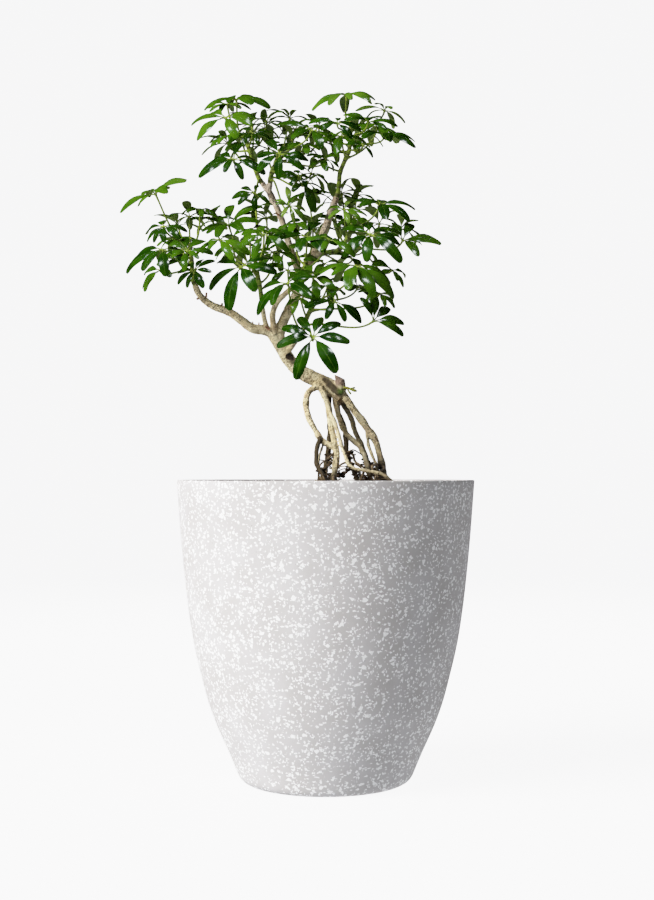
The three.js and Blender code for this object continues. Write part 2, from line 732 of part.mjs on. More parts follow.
const plant = new THREE.Group();
plant.add(named('pot', potSolid(), 'pot'));
plant.add(named('soil', holedSoil(), 'soil'));
plant.add(named('trunk', woodSolid(), 'wood'));
for (const name of Object.keys(SHOOTS)) {
  plant.add(named(`leafy_stem_${name}`, shootSolid(name), 'leaf'));
}

export default plant;
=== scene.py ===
import json
import math
import random

import bmesh
import bpy
import numpy as np
from mathutils import Matrix, Vector, noise

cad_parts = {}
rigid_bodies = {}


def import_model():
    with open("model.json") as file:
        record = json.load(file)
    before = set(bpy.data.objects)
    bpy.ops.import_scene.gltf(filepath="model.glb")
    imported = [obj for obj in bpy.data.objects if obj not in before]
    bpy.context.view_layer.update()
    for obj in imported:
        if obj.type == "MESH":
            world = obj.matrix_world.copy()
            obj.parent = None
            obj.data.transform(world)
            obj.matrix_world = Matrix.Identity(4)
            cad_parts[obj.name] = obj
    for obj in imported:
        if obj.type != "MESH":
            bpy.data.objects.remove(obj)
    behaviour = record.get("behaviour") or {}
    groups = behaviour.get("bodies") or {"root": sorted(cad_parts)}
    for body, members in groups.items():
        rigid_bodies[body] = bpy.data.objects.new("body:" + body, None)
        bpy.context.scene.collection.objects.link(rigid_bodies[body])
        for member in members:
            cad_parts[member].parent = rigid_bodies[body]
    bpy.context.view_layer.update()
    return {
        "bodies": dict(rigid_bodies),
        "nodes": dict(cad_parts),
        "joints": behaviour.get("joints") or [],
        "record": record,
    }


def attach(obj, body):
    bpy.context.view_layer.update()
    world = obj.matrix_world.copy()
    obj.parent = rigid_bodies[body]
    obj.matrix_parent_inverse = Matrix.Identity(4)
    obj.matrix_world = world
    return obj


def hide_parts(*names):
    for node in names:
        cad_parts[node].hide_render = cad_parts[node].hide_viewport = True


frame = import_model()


# ---- Viewpoint ----
# The plant stands straight in front of the lens, which is a little above the pot's rim and tilted up by less
# than a degree, so that the rim shows as a line.
MM = 0.001
EYE_DISTANCE = 1554
EYE_HEIGHT = 341
FRAME_HEIGHT = 900
FOCAL_PIXELS = 1394
SENSOR_HEIGHT = 24
TILT_UP = 0.9
AIM_ASIDE = 0.001

lens = bpy.data.cameras.new("viewpoint")
lens.sensor_fit = "VERTICAL"
lens.sensor_height = SENSOR_HEIGHT
lens.lens = SENSOR_HEIGHT * FOCAL_PIXELS / FRAME_HEIGHT
viewpoint = bpy.data.objects.new("viewpoint", lens)
viewpoint.location = (0, -EYE_DISTANCE * MM, EYE_HEIGHT * MM)
looking = Vector((AIM_ASIDE, 1, math.tan(math.radians(TILT_UP))))
viewpoint.rotation_euler = looking.to_track_quat("-Z", "Y").to_euler()
bpy.context.scene.collection.objects.link(viewpoint)
bpy.context.scene.camera = viewpoint


# ---- Pot ----
# A round planter cast in one piece from resin and stone meal: a small flat foot, a full belly and a nearly
# upright wall with a thin crisp rim. Pale stone chips lie flush in its matt grey face.
RIM_DIAMETER = 330
POT_HEIGHT = 332
FOOT_DIAMETER = 186
WALL = 9.5
LIP_ROUND = 1.2
POT_FLOOR = 14
FLOOR_COVE = 14
SOIL_LEVEL = 300
POT_SIDE = [(FOOT_DIAMETER / 2 + 4, 8), (107, 32), (120.5, 62), (130, 88), (138, 118), (145.5, 150),
            (151.5, 187), (156, 225), (160, 266), (RIM_DIAMETER / 2, POT_HEIGHT - LIP_ROUND)]
INNER_HEIGHTS = [POT_FLOOR + FLOOR_COVE, 80, 160, SOIL_LEVEL]
THROAT_HEIGHT = 316
THROAT_NARROWS = 1.2
FOOT_MIDDLE = 45
# The foot's rounded edge: how far inside the foot's radius, and how high.
FOOT_EDGE = [(7, 0), (3.4, 0.7), (0.4, 2.4), (-2, 4.8)]
TURNS = 128


def curve_at(places, shares):
    """Points of the smooth curve through the places; a share of 1 is its far end."""
    points = np.array(places, float)
    line = np.vstack([2 * points[0] - points[1], points, 2 * points[-1] - points[-2]])
    spans = len(points) - 1
    found = []
    for share in shares:
        span = min(int(share * spans), spans - 1)
        w = share * spans - span
        p0, p1, p2, p3 = line[span:span + 4]
        d0, d1, d2 = (math.sqrt(math.dist(a, b)) for a, b in ((p0, p1), (p1, p2), (p2, p3)))
        out = ((p1 - p0) / d0 - (p2 - p0) / (d0 + d1) + (p2 - p1) / d1) * d1
        into = ((p2 - p1) / d1 - (p3 - p1) / (d1 + d2) + (p3 - p2) / d2) * d1
        found.append(p1 + out * w + (3 * (p2 - p1) - 2 * out - into) * w ** 2
                     + (2 * (p1 - p2) + out + into) * w ** 3)
    return np.array(found)


def spaced_curve(places, shares):
    """Points of the same curve at shares of its length, and that length."""
    evenly = np.linspace(0, 1, 201)
    steps = np.linalg.norm(np.diff(curve_at(places, evenly), axis=0), axis=1)
    reach = np.concatenate([[0], np.cumsum(steps)])
    return curve_at(places, np.interp(np.array(shares) * reach[-1], reach, evenly)), reach[-1]


def turned(outline, turns):
    """A bmesh of an outline of (radius, height) in mm, turned round the pot's axis."""
    shape = bmesh.new()
    corners = [shape.verts.new((radius * MM, 0, height * MM)) for radius, height in outline]
    edges = [shape.edges.new(pair) for pair in zip(corners, corners[1:])]
    bmesh.ops.spin(shape, geom=corners + edges, angle=math.tau, steps=turns, use_merge=True,
                   axis=(0, 0, 1), cent=(0, 0, 0))
    bmesh.ops.remove_doubles(shape, verts=shape.verts, dist=1e-6)
    bmesh.ops.recalc_face_normals(shape, faces=shape.faces)
    return shape


def piece(name, shape, finishes, replaced=(), crisp=40):
    """Finishes a piece of the plant from a bmesh, riding on its one body."""
    mesh = bpy.data.meshes.new(name)
    shape.to_mesh(mesh)
    shape.free()
    for finish in finishes:
        mesh.materials.append(finish.material)
    mesh.shade_smooth()
    mesh.set_sharp_from_angle(angle=math.radians(crisp))
    made = bpy.data.objects.new(name, mesh)
    bpy.context.scene.collection.objects.link(made)
    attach(made, "root")
    if replaced:
        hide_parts(*replaced)


def feed(socket, value):
    """Sets a socket, or links it to what gives its value."""
    if isinstance(value, Level):
        socket.id_data.links.new(value.socket, socket)
    else:
        socket.default_value = value


class Level:
    """What a socket gives. Sums written with it become Math nodes."""

    def __init__(self, socket):
        self.socket = socket

    def worked(self, operation, *values):
        """What a Math node makes of some values."""
        node = self.socket.id_data.nodes.new("ShaderNodeMath")
        node.operation = operation
        for socket, value in zip(node.inputs, values):
            feed(socket, value)
        return Level(node.outputs[0])

    def __add__(self, other):
        return self.worked("ADD", self, other)

    def __sub__(self, other):
        return self.worked("SUBTRACT", self, other)

    def __rsub__(self, other):
        return self.worked("SUBTRACT", other, self)

    def __mul__(self, other):
        return self.worked("MULTIPLY", self, other)

    def __gt__(self, other):
        return self.worked("GREATER_THAN", self, other)

    def __lt__(self, other):
        return self.worked("LESS_THAN", self, other)

    def __abs__(self):
        return self.worked("ABSOLUTE", self)

    __radd__ = __add__
    __rmul__ = __mul__

    def either(self, other):
        """The higher of two levels."""
        return self.worked("MAXIMUM", self, other)


class Finish:
    """A finish mixed from nodes that all end in one shader."""

    def __init__(self, name):
        self.material = bpy.data.materials.new(name)
        self.material.use_nodes = True
        self.tree = self.material.node_tree
        self.where = self.node("TexCoord", {}, {}, "Object")

    def node(self, kind, settings, sockets, output=0):
        """One output of a new node with its settings and sockets."""
        made = self.tree.nodes.new("ShaderNode" + kind)
        for name, value in settings.items():
            setattr(made, name, value)
        for name, value in sockets.items():
            feed(made.inputs[name], value)
        return Level(made.outputs[output])

    def mark(self, name):
        """What a piece's corners were told under a name."""
        return self.node("Attribute", {"attribute_name": name}, {}, "Fac")

    def between(self, share, low, high):
        """A colour from low to high."""
        return self.node("Mix", {"data_type": "RGBA"}, {0: share, 6: low, 7: high}, 2)

    def graded(self, level, low, high, to_low=0.0, to_high=1.0):
        """A level that runs smoothly from to_low to to_high as the given one goes from low to high."""
        return self.node("MapRange", {"interpolation_type": "SMOOTHSTEP"},
                         {"Value": level, "From Min": low, "From Max": high,
                          "To Min": to_low, "To Max": to_high})

    def shaded(self, level, low, high, colours):
        """A colour that runs from one to another as a level goes from low to high."""
        return self.between(self.graded(level, low, high), *colours)

    def layered(self, skin, *coats):
        """A colour with coats of other colours over it, each by its share."""
        for share, colour in coats:
            skin = self.between(share, skin, colour)
        return skin

    def cloud(self, scale, detail=3, rough=0.55, where=None):
        """A level that changes from place to place like a cloud."""
        return self.node("TexNoise", {}, {"Vector": where or self.where, "Scale": scale, "Detail": detail,
                                          "Roughness": rough})

    def relief(self, height, depth):
        """A bump of a depth in metres."""
        return self.node("Bump", {}, {"Height": height, "Distance": depth, "Strength": 1.0})

    def finish(self, sockets):
        """Sets the shader's sockets."""
        for name, value in sockets.items():
            feed(self.tree.nodes["Principled BSDF"].inputs[name], value)


def radius_at(height):
    """The pot's outer radius at a height."""
    outer = curve_at(POT_SIDE, np.linspace(0, 1, 400))
    return float(np.interp(height, outer[:, 1], outer[:, 0]))


lip = [(LIP_ROUND * math.cos(math.radians(angle)), LIP_ROUND * math.sin(math.radians(angle)))
       for angle in (0, 30, 60, 90)]
rim = RIM_DIAMETER / 2
lip_height = POT_HEIGHT - LIP_ROUND
foot = FOOT_DIAMETER / 2
outline = [(0, 0), (FOOT_MIDDLE, 0)] + [(foot - inside, up) for inside, up in FOOT_EDGE]
outline += [tuple(point) for point in curve_at(POT_SIDE, np.linspace(0, 1, 46))][:-1]
outline += [(rim - LIP_ROUND + across, lip_height + up) for across, up in lip]
outline += [(rim - WALL + LIP_ROUND - across, lip_height + up) for across, up in reversed(lip)]
outline += [(rim - WALL - THROAT_NARROWS, THROAT_HEIGHT)]
outline += [(radius_at(height) - WALL, height) for height in reversed(INNER_HEIGHTS)]
outline += [(radius_at(INNER_HEIGHTS[0]) - WALL - FLOOR_COVE, POT_FLOOR), (0, POT_FLOOR)]

# Chip layers: cell size in mm, share of the cells that hold a chip, the bare margin round it, how the layer
# is turned, and how its chips are drawn out.
CHIPS = [
    (5.4, 0.085, 0.12, (0.3, 0.8, 0.4), (1.0, 1.65, 1.2)),
    (4.6, 0.130, 0.12, (1.2, 0.2, 1.5), (1.7, 0.95, 1.3)),
    (3.7, 0.140, 0.13, (2.1, 1.3, 0.7), (1.0, 1.3, 2.0)),
    (2.6, 0.130, 0.14, (0.7, 2.4, 2.2), (1.8, 1.1, 1.0)),
]
CEMENT = [(0.420, 0.400, 0.403, 1), (0.500, 0.486, 0.502, 1)]
CHIP = [(0.86, 0.865, 0.88, 1), (0.95, 0.955, 0.97, 1)]
PIT_COLOUR = (0.12, 0.11, 0.10, 1)
# The face's small pits: how many cells lie in a mm, and the radius of a pit in cells.
PIT_CELLS = 0.09
PIT_SIZE = 0.045

terrazzo = Finish("terrazzo")
cement = terrazzo.shaded(terrazzo.cloud(22, 4), 0.3, 0.7, CEMENT)
in_mm = terrazzo.node("VectorMath", {"operation": "SCALE"}, {0: terrazzo.where, "Scale": 1 / MM})
chips = None
for size, share, margin, turn, drawn in CHIPS:
    grain = terrazzo.node("Mapping", {}, {"Vector": in_mm, "Rotation": turn,
                                          "Scale": [stretch / size for stretch in drawn]})
    tint = terrazzo.node("TexVoronoi", {}, {"Vector": grain, "Scale": 1}, "Color")
    edge = terrazzo.node("TexVoronoi", {"feature": "DISTANCE_TO_EDGE"}, {"Vector": grain, "Scale": 1})
    lot = terrazzo.node("SeparateColor", {}, {"Color": tint})
    chip = (lot > 1 - share) * (edge > margin)
    chips = chip if chips is None else chips.either(chip)
    hue = terrazzo.node("SeparateColor", {}, {"Color": tint}, 1)
pits = terrazzo.node("TexVoronoi", {}, {"Vector": in_mm, "Scale": PIT_CELLS}) < PIT_SIZE
terrazzo.finish({
    "Base Color": terrazzo.layered(cement, (chips, terrazzo.between(hue, *CHIP)), (pits * 0.75, PIT_COLOUR)),
    "Roughness": 0.78 - chips * 0.14,
    "Specular IOR Level": 0.35,
    "Normal": terrazzo.relief(terrazzo.cloud(900, 2) + chips * 0.3 - pits * 4, 0.00012),
})
piece("pot_body", turned(outline, TURNS), [terrazzo], ["pot"], crisp=35)


# ---- Soil ----
# Dark potting soil fills the pot to about 30 mm under its rim, heaped towards the plant and loose on top,
# with crumbs of peat and bark lying on it.
SOIL_GAP = 0.4
SOIL_EDGE = 136
SOIL_HEAP = 7
# The soil's pits: how deep they are, how wide and long, and where they run out before the wall.
SOIL_PIT = 2.5
PIT_WIDTH, PIT_LENGTH = 11, 9
PITS_END, PITS_FADE = 150, 14
# The soil's clods: how far each kind stands out in mm, how fine it is, and where its pattern starts.
CLODS = [(2.2, 0.16, 0), (1.5, 0.42, 40)]
SOIL_TOP_RINGS = 70
LOOSE_SOIL_RADIUS = 150.5
CRUMBS = 1100
CRUMB_RADIUS = 148
CRUMB_SEED = 11
PEAT = [(0.012, 0.008, 0.005, 1), (0.070, 0.045, 0.027, 1)]
BARK_BITS = (0.16, 0.105, 0.06, 1)

soil_side = [(radius_at(height) - WALL - SOIL_GAP, height) for height in INNER_HEIGHTS]
outline = [(0, POT_FLOOR + SOIL_GAP), (soil_side[0][0] - FLOOR_COVE, POT_FLOOR + SOIL_GAP)] + soil_side
outline += [(radius, SOIL_LEVEL) for radius in np.linspace(soil_side[-1][0] - 2, 2, SOIL_TOP_RINGS)]
outline += [(0, SOIL_LEVEL)]
shape = turned(outline, TURNS)


def soil_height(x, y):
    """The height of the soil's top in mm, at a place in mm."""
    radius = math.hypot(x, y)
    heap = SOIL_HEAP * max(0, 1 - radius / SOIL_EDGE)
    inside = min(1, max(0, (PITS_END - radius) / PITS_FADE))
    pits = SOIL_PIT * math.sin(x / PIT_WIDTH) * math.cos(y / PIT_LENGTH) * inside
    clods = sum(height * noise.noise(Vector((x, y, start)) * fineness) for height, fineness, start in CLODS)
    return SOIL_LEVEL + heap + pits + clods


for corner in shape.verts:
    radius = math.hypot(corner.co.x, corner.co.y) / MM
    if corner.co.z > (SOIL_LEVEL - 0.5) * MM and radius < LOOSE_SOIL_RADIUS:
        corner.co.z = soil_height(corner.co.x / MM, corner.co.y / MM) * MM

peat = Finish("peat")
clods = peat.cloud(420, 6, 0.7)
bits = peat.node("TexVoronoi", {}, {"Vector": peat.where, "Scale": 330}, "Color")
lot = peat.node("SeparateColor", {}, {"Color": bits})
peat.finish({
    "Base Color": peat.between((lot > 0.90) * 0.8, peat.shaded(clods, 0.35, 0.7, PEAT), BARK_BITS),
    "Roughness": 0.92,
    "Specular IOR Level": 0.2,
    "Normal": peat.relief(clods + lot * 0.6, 0.0016),
})
piece("soil_top", shape, [peat], ["soil"], crisp=80)

draw = random.Random(CRUMB_SEED)
shape = bmesh.new()


def crumb(shape, centre, size, draw):
    """An angular lump of soil or bark, of a size in mm."""
    made = bmesh.ops.create_icosphere(shape, subdivisions=1, radius=size / 2 * MM)["verts"]
    for corner in made:
        corner.co *= draw.uniform(0.7, 1.15)
    turn = Matrix.Rotation(draw.uniform(0, math.tau), 4, "Z") @ Matrix.Rotation(draw.uniform(0, 3), 4, "X")
    squash = Matrix.Diagonal((1, draw.uniform(0.5, 0.9), draw.uniform(0.45, 0.8), 1))
    bmesh.ops.transform(shape, verts=made, matrix=Matrix.Translation(Vector(centre) * MM) @ turn @ squash)


for _ in range(CRUMBS):
    radius = CRUMB_RADIUS * math.sqrt(draw.random())
    angle = draw.uniform(0, math.tau)
    x, y = radius * math.cos(angle), radius * math.sin(angle)
    size = draw.uniform(1.2, 2.6) if draw.random() < 0.8 else draw.uniform(2.6, 5)
    crumb(shape, (x, y, soil_height(x, y) + size * 0.12), size, draw)
piece("soil_crumbs", shape, [peat], [], crisp=30)


# ---- Trunk, raised roots and branches ----
# One grown piece of wood. The trunk leans to the left and stands on eleven roots that were lifted out of the
# soil; nine branches leave it. Its pale bark has rings of leaf scars and brown breathing pores. Shade is
# painted into the hollows of the bark, and a painted shadow lies as a dark streak beside the stub.
#
# Each limb: places across and up as they show from the front, the depths at its two ends and the diameters
# there.
TRUNK = ([(19, 427), (9, 434), (-2, 440), (-13, 445), (-26, 452), (-40, 465), (-50, 481), (-60, 497)],
         (4, 0), (19, 14))
ROOTS = [
    ([(-6, 438), (-18, 431), (-22, 420), (-20, 405), (-13, 390), (-3, 375), (10, 366)], (-4, -26), (7.5, 6)),
    ([(-6, 378), (-10, 366), (-10, 351), (-4, 338), (2, 322)], (-20, -40), (5.5, 5)),
    ([(-2, 374), (-7, 358), (-8, 334), (-10, 318)], (-18, -6), (3, 2.6)),
    ([(-6, 436), (2, 417), (5, 396), (10, 374), (13, 358), (8, 333), (6, 318)], (-5, -38), (7, 6)),
    ([(3.5, 410), (11, 394), (20, 364), (28, 347), (48, 342), (66, 337), (80, 320)], (-13, -48), (4.6, 4)),
    ([(9, 430), (15, 401), (23, 384), (38, 369), (45, 354), (49, 336), (51, 318)], (2, -16), (6.5, 5.5)),
    ([(14, 424), (26, 406), (34, 384), (42, 366), (49, 340), (53, 318)], (8, 34), (6.5, 5.5)),
    ([(18, 430), (28, 415), (42, 396), (55, 377), (61, 357), (65, 339), (70, 318)], (0, 8), (9, 7.5)),
    ([(45, 392), (49, 367), (56, 350), (60, 334), (62, 318)], (3, -26), (4, 3.5)),
    ([(4, 436), (3.5, 418), (5, 396), (4, 372), (1, 350), (-4, 318)], (6, 44), (7.5, 6)),
    ([(12, 430), (14, 408), (22, 386), (24, 358), (34, 336), (36, 318)], (8, 56), (7, 6)),
]
ROOT_DEEP = 22
BRANCHES = {
    "left": ([(-58, 495), (-68, 499), (-81, 501), (-95, 511), (-107, 519), (-129, 528), (-141, 539),
              (-146, 550)], (0, -8), (12, 7)),
    "top_right": ([(-51, 488), (-51, 499), (-43, 518), (-33, 538), (-26, 561), (-15, 579), (-9, 594),
                   (-1, 612), (7, 635), (12, 648)], (0, 6), (13, 7.5)),
    "centre": ([(-57, 496), (-59, 518), (-53, 532), (-44, 541), (-34, 550)], (-4, -18), (7.5, 6)),
    "top_left": ([(-28, 556), (-33, 572), (-41, 596), (-48, 620), (-54, 635), (-62, 652), (-71, 664)],
                 (2, -2), (8.5, 6.5)),
    "top_middle": ([(-59, 643), (-63, 654), (-62, 664)], (-1, -5), (7, 6.5)),
    "centre_left": ([(-64, 497), (-69, 515), (-71, 530)], (-3, -8), (6, 5)),
    "front_low": ([(-44, 474), (-36, 484), (-28, 496)], (-3, -16), (8, 6)),
    "right": ([(-16, 577), (-8, 583), (-2, 585)], (3, -4), (7, 6)),
    "back": ([(-33, 540), (-30, 552), (-24, 566), (-18, 578)], (3, 34), (8, 6)),
}
STUB = ([(17, 428), (17, 438), (14.6, 452)], (-2, -5), (11.5, 11))
SAW_CUT = (14.5, -5, 447.3)
SAW_SLANT = (0.43, -0.12, 0.9)
# The saw cuts only what lies this near to the cut and above this height.
SAW_REACH = 13
SAW_ABOVE = 441
KNOT = ([(-39, 466), (-40, 467), (-41, 468)], (-6, -10.5), (8, 5.5))
WOOD_SIDES = 14
WOOD_STEP = 2.5
WOOD_VOXEL = 0.9
SCAR_SPACING = 7.5
SCAR_WIDTH = 0.09
# What each limb's grain starts further on than the last one's.
LIMB_SHIFT = 190
SMOOTHINGS = 3
# How much the thickness of roots, and of other limbs, comes and goes.
ROOT_KNOBS, LIMB_KNOBS = 0.16, 0.07
# The bark's lumps: how far each kind stands out in mm, and how fine it is.
LUMPS = [(0.55, 0.13), (0.3, 0.34), (0.14, 0.9)]
ROOT_LUMPS, LIMB_LUMPS, STUB_LUMPS = 1.25, 0.75, 0.4
SCAR_RISE = 0.22
# The knot's eye: the height of its raised ring, the ring's radius and width, and its pit's depth and radius.
KNOT_RING = (0.9, 6, 1.5)
KNOT_PIT = (1.6, 3.6)
KNOT_EYE = (-39.5, -9, 470)
KNOT_DARK = 6.6
MOSS = (18, -7, 431)
MOSS_RADIUS = 4
# A painted shadow on the trunk beside the stub: the two ends of its dark streak (across, depth, up) and how
# far it spreads.
PAINTED_SHADOW = ((0, -8, 446), (17, -9, 423))
PAINTED_SHADOW_RADIUS = 6.2
# Heights where young bark, the sawn wood and the soil's stain begin, and over what height each comes in.
YOUNG_FROM, YOUNG_OVER = 560, 95
SAWN_FROM, SAWN_OVER = 434, 4
EARTH_FROM, EARTH_OVER, STAIN_OVER = 316, 34, 50
# How dark the soil has stained single roots, by their place in the list.
ROOT_STAINS = {1: 0.7, 2: 0.25, 5: 0.15, 6: 0.45, 7: 0.25, 8: 0.25, 9: 0.75, 10: 0.8}
OLD_BARK = [(0.50, 0.380, 0.190, 1), (0.75, 0.655, 0.41, 1)]
YOUNG_BARK = [(0.40, 0.27, 0.19, 1), (0.80, 0.66, 0.53, 1)]
SAWN_WOOD = [(0.11, 0.065, 0.045, 1), (0.36, 0.26, 0.20, 1)]
EYE_BROWN = [(0.13, 0.095, 0.065, 1), (0.015, 0.0095, 0.006, 1)]
RING_BROWN = (0.16, 0.10, 0.045, 1)
# Painted shade in the hollows between the bark's lumps, also darkening its scar rings.
SHADE_AND_SCAR_BROWN = (0.095, 0.0575, 0.025, 1)
WARM_BROWN = (0.46, 0.24, 0.13, 1)
FLECK_BROWN = (0.15, 0.10, 0.040, 1)
PALE_FIBRE = (0.70, 0.60, 0.38, 1)
PORE_BROWN = (0.03, 0.016, 0.009, 1)
EARTH_BROWN = (0.025, 0.0155, 0.007, 1)
# The colour of the painted shadow beside the stub.
PAINTED_SHADOW_BROWN = (0.025, 0.0165, 0.009, 1)
MOSS_GREEN = (0.045, 0.10, 0.010, 1)


def place(across, depth, up):
    """A place in mm, from where it shows from the front in the plane of the pot's axis and its depth."""
    spread = 1 + depth / EYE_DISTANCE
    return np.array((across * spread, depth, EYE_HEIGHT + (up - EYE_HEIGHT) * spread))


def places_of(shown, depths):
    """The places of a line as it shows from the front, with its depth running from one end to the other."""
    last = len(shown) - 1
    return [place(across, depths[0] + (depths[1] - depths[0]) * i / last, up)
            for i, (across, up) in enumerate(shown)]


def frames_along(centres):
    """A turning-free frame at each point of a line, looking along it."""
    ways = np.gradient(np.array(centres), axis=0)
    ways /= np.linalg.norm(ways, axis=1)[:, None]
    aside = Vector(ways[0]).orthogonal().normalized()
    frames = []
    for centre, way in zip(centres, ways):
        way = Vector(way)
        aside = (aside - way * aside.dot(way)).normalized()
        frame = Matrix((aside, way.cross(aside), way)).transposed().to_4x4()
        frame.translation = Vector(centre)
        frames.append(frame)
    return frames


def sweep(shape, centres, radii, sides):
    """Draws a ring out along a line of centres (mm), closing both ends. Returns its corners."""
    frames = frames_along(centres)
    sized = [frame @ Matrix.Diagonal((radius, radius, radius, 1)) for frame, radius in zip(frames, radii)]
    scale = Matrix.Scale(MM, 4)
    ring = bmesh.ops.create_circle(shape, cap_ends=True, segments=sides, radius=1, matrix=scale @ sized[0])
    corners = ring["verts"]
    everything = list(corners)
    edges = list({edge for corner in corners for edge in corner.link_edges})
    for before, after in zip(sized, sized[1:]):
        grown = bmesh.ops.extrude_edge_only(shape, edges=edges)["geom"]
        corners = [part for part in grown if isinstance(part, bmesh.types.BMVert)]
        edges = [part for part in grown if isinstance(part, bmesh.types.BMEdge)]
        bmesh.ops.transform(shape, verts=corners, matrix=scale @ after @ before.inverted() @ scale.inverted())
        everything += corners
    bmesh.ops.contextual_create(shape, geom=edges)
    return everything


def lines_of(limb, deep=0):
    """A limb's line of centres every step and its radii, carried down into the soil if it is a root."""
    shown, depths, diameters = limb
    if deep:
        across, up = shown[-1]
        shown = shown + [(across, up - deep), (across, up - 2 * deep)]
    places = places_of(shown, depths)
    length = spaced_curve(places, [1])[1]
    shares = np.linspace(0, 1, max(3, round(length / WOOD_STEP)) + 1)
    centres = spaced_curve(places, shares)[0]
    radii = (diameters[0] + (diameters[1] - diameters[0]) * shares) / 2
    return centres, radii


def within(value):
    """A value kept between 0 and 1."""
    return min(1, max(0, value))


def hump(off, width, power=2):
    """A smooth hump: 1 in its middle, and near to nothing two widths off."""
    return math.exp(-(off / width) ** power)


wood_lines = [lines_of(TRUNK)] + [lines_of(root, ROOT_DEEP) for root in ROOTS]
wood_lines += [lines_of(branch) for branch in BRANCHES.values()] + [lines_of(STUB), lines_of(KNOT)]
first_root, first_branch, stub_number = 1, 1 + len(ROOTS), len(wood_lines) - 2

shape = bmesh.new()
for number, (centres, radii) in enumerate(wood_lines):
    knobs = np.array([noise.noise(Vector((number * 7.3, i * 0.31, 0))) for i in range(len(centres))])
    knobs *= ROOT_KNOBS if first_root <= number < first_branch else LIMB_KNOBS
    sweep(shape, centres, radii * (0.97 + knobs), WOOD_SIDES)
bmesh.ops.recalc_face_normals(shape, faces=shape.faces)


def modified(shape, kind, settings, materials=()):
    """The bmesh that one modifier makes of another."""
    mesh = bpy.data.meshes.new("unfinished")
    shape.to_mesh(mesh)
    shape.free()
    for material in materials:
        mesh.materials.append(material)
    made = bpy.data.objects.new("unfinished", mesh)
    bpy.context.scene.collection.objects.link(made)
    modifier = made.modifiers.new("modifier", kind)
    for name, value in settings.items():
        setattr(modifier, name, value)
    bpy.context.view_layer.update()
    shape = bmesh.new()
    shape.from_mesh(made.evaluated_get(bpy.context.evaluated_depsgraph_get()).to_mesh())
    bpy.data.objects.remove(made)
    return shape


# The limbs grow together into one skin.
shape = modified(shape, "REMESH", {"mode": "VOXEL", "voxel_size": WOOD_VOXEL * MM})
for _ in range(SMOOTHINGS):
    bmesh.ops.smooth_vert(shape, verts=shape.verts, factor=0.5, use_axis_x=True, use_axis_y=True,
                          use_axis_z=True)

# The stub is sawn off at a slant.
saw_at, saw_way = Vector(place(*SAW_CUT)) * MM, Vector(SAW_SLANT).normalized()
near = [face for face in shape.faces if (face.calc_center_median() - saw_at).length < SAW_REACH * MM
        and face.calc_center_median().z > SAW_ABOVE * MM]
edges = {edge for face in near for edge in face.edges}
corners = {corner for face in near for corner in face.verts}
bmesh.ops.bisect_plane(shape, geom=list(corners) + list(edges) + near, plane_co=saw_at, plane_no=saw_way,
                       clear_outer=True)
bmesh.ops.holes_fill(shape, edges=[edge for edge in shape.edges if edge.is_boundary], sides=0)
bmesh.ops.recalc_face_normals(shape, faces=shape.faces)

# Every corner finds the nearest point of a limb, and so how far along its limb it lies and which way round.
corners = np.array([corner.co for corner in shape.verts]) / MM
shape.normal_update()
centres = np.vstack([line for line, _ in wood_lines])
radii = np.concatenate([radii for _, radii in wood_lines])
owner = np.concatenate([np.full(len(line), number) for number, (line, _) in enumerate(wood_lines)])
along = np.concatenate([WOOD_STEP * np.arange(len(line)) + LIMB_SHIFT * number
                        for number, (line, _) in enumerate(wood_lines)])
frames = [frame for line, _ in wood_lines for frame in frames_along(line)]
turns = np.array([[frame.col[0][:3], frame.col[1][:3], frame.col[2][:3]] for frame in frames])
nearest = np.concatenate([(np.linalg.norm(part[:, None] - centres[None], axis=2) - radii).argmin(axis=1)
                          for part in np.array_split(corners, 1 + len(corners) // 2000)])
offset = np.einsum("nij,nj->ni", turns[nearest], corners - centres[nearest])
grain_at = np.column_stack([offset[:, 0], offset[:, 1], along[nearest] + offset[:, 2]])
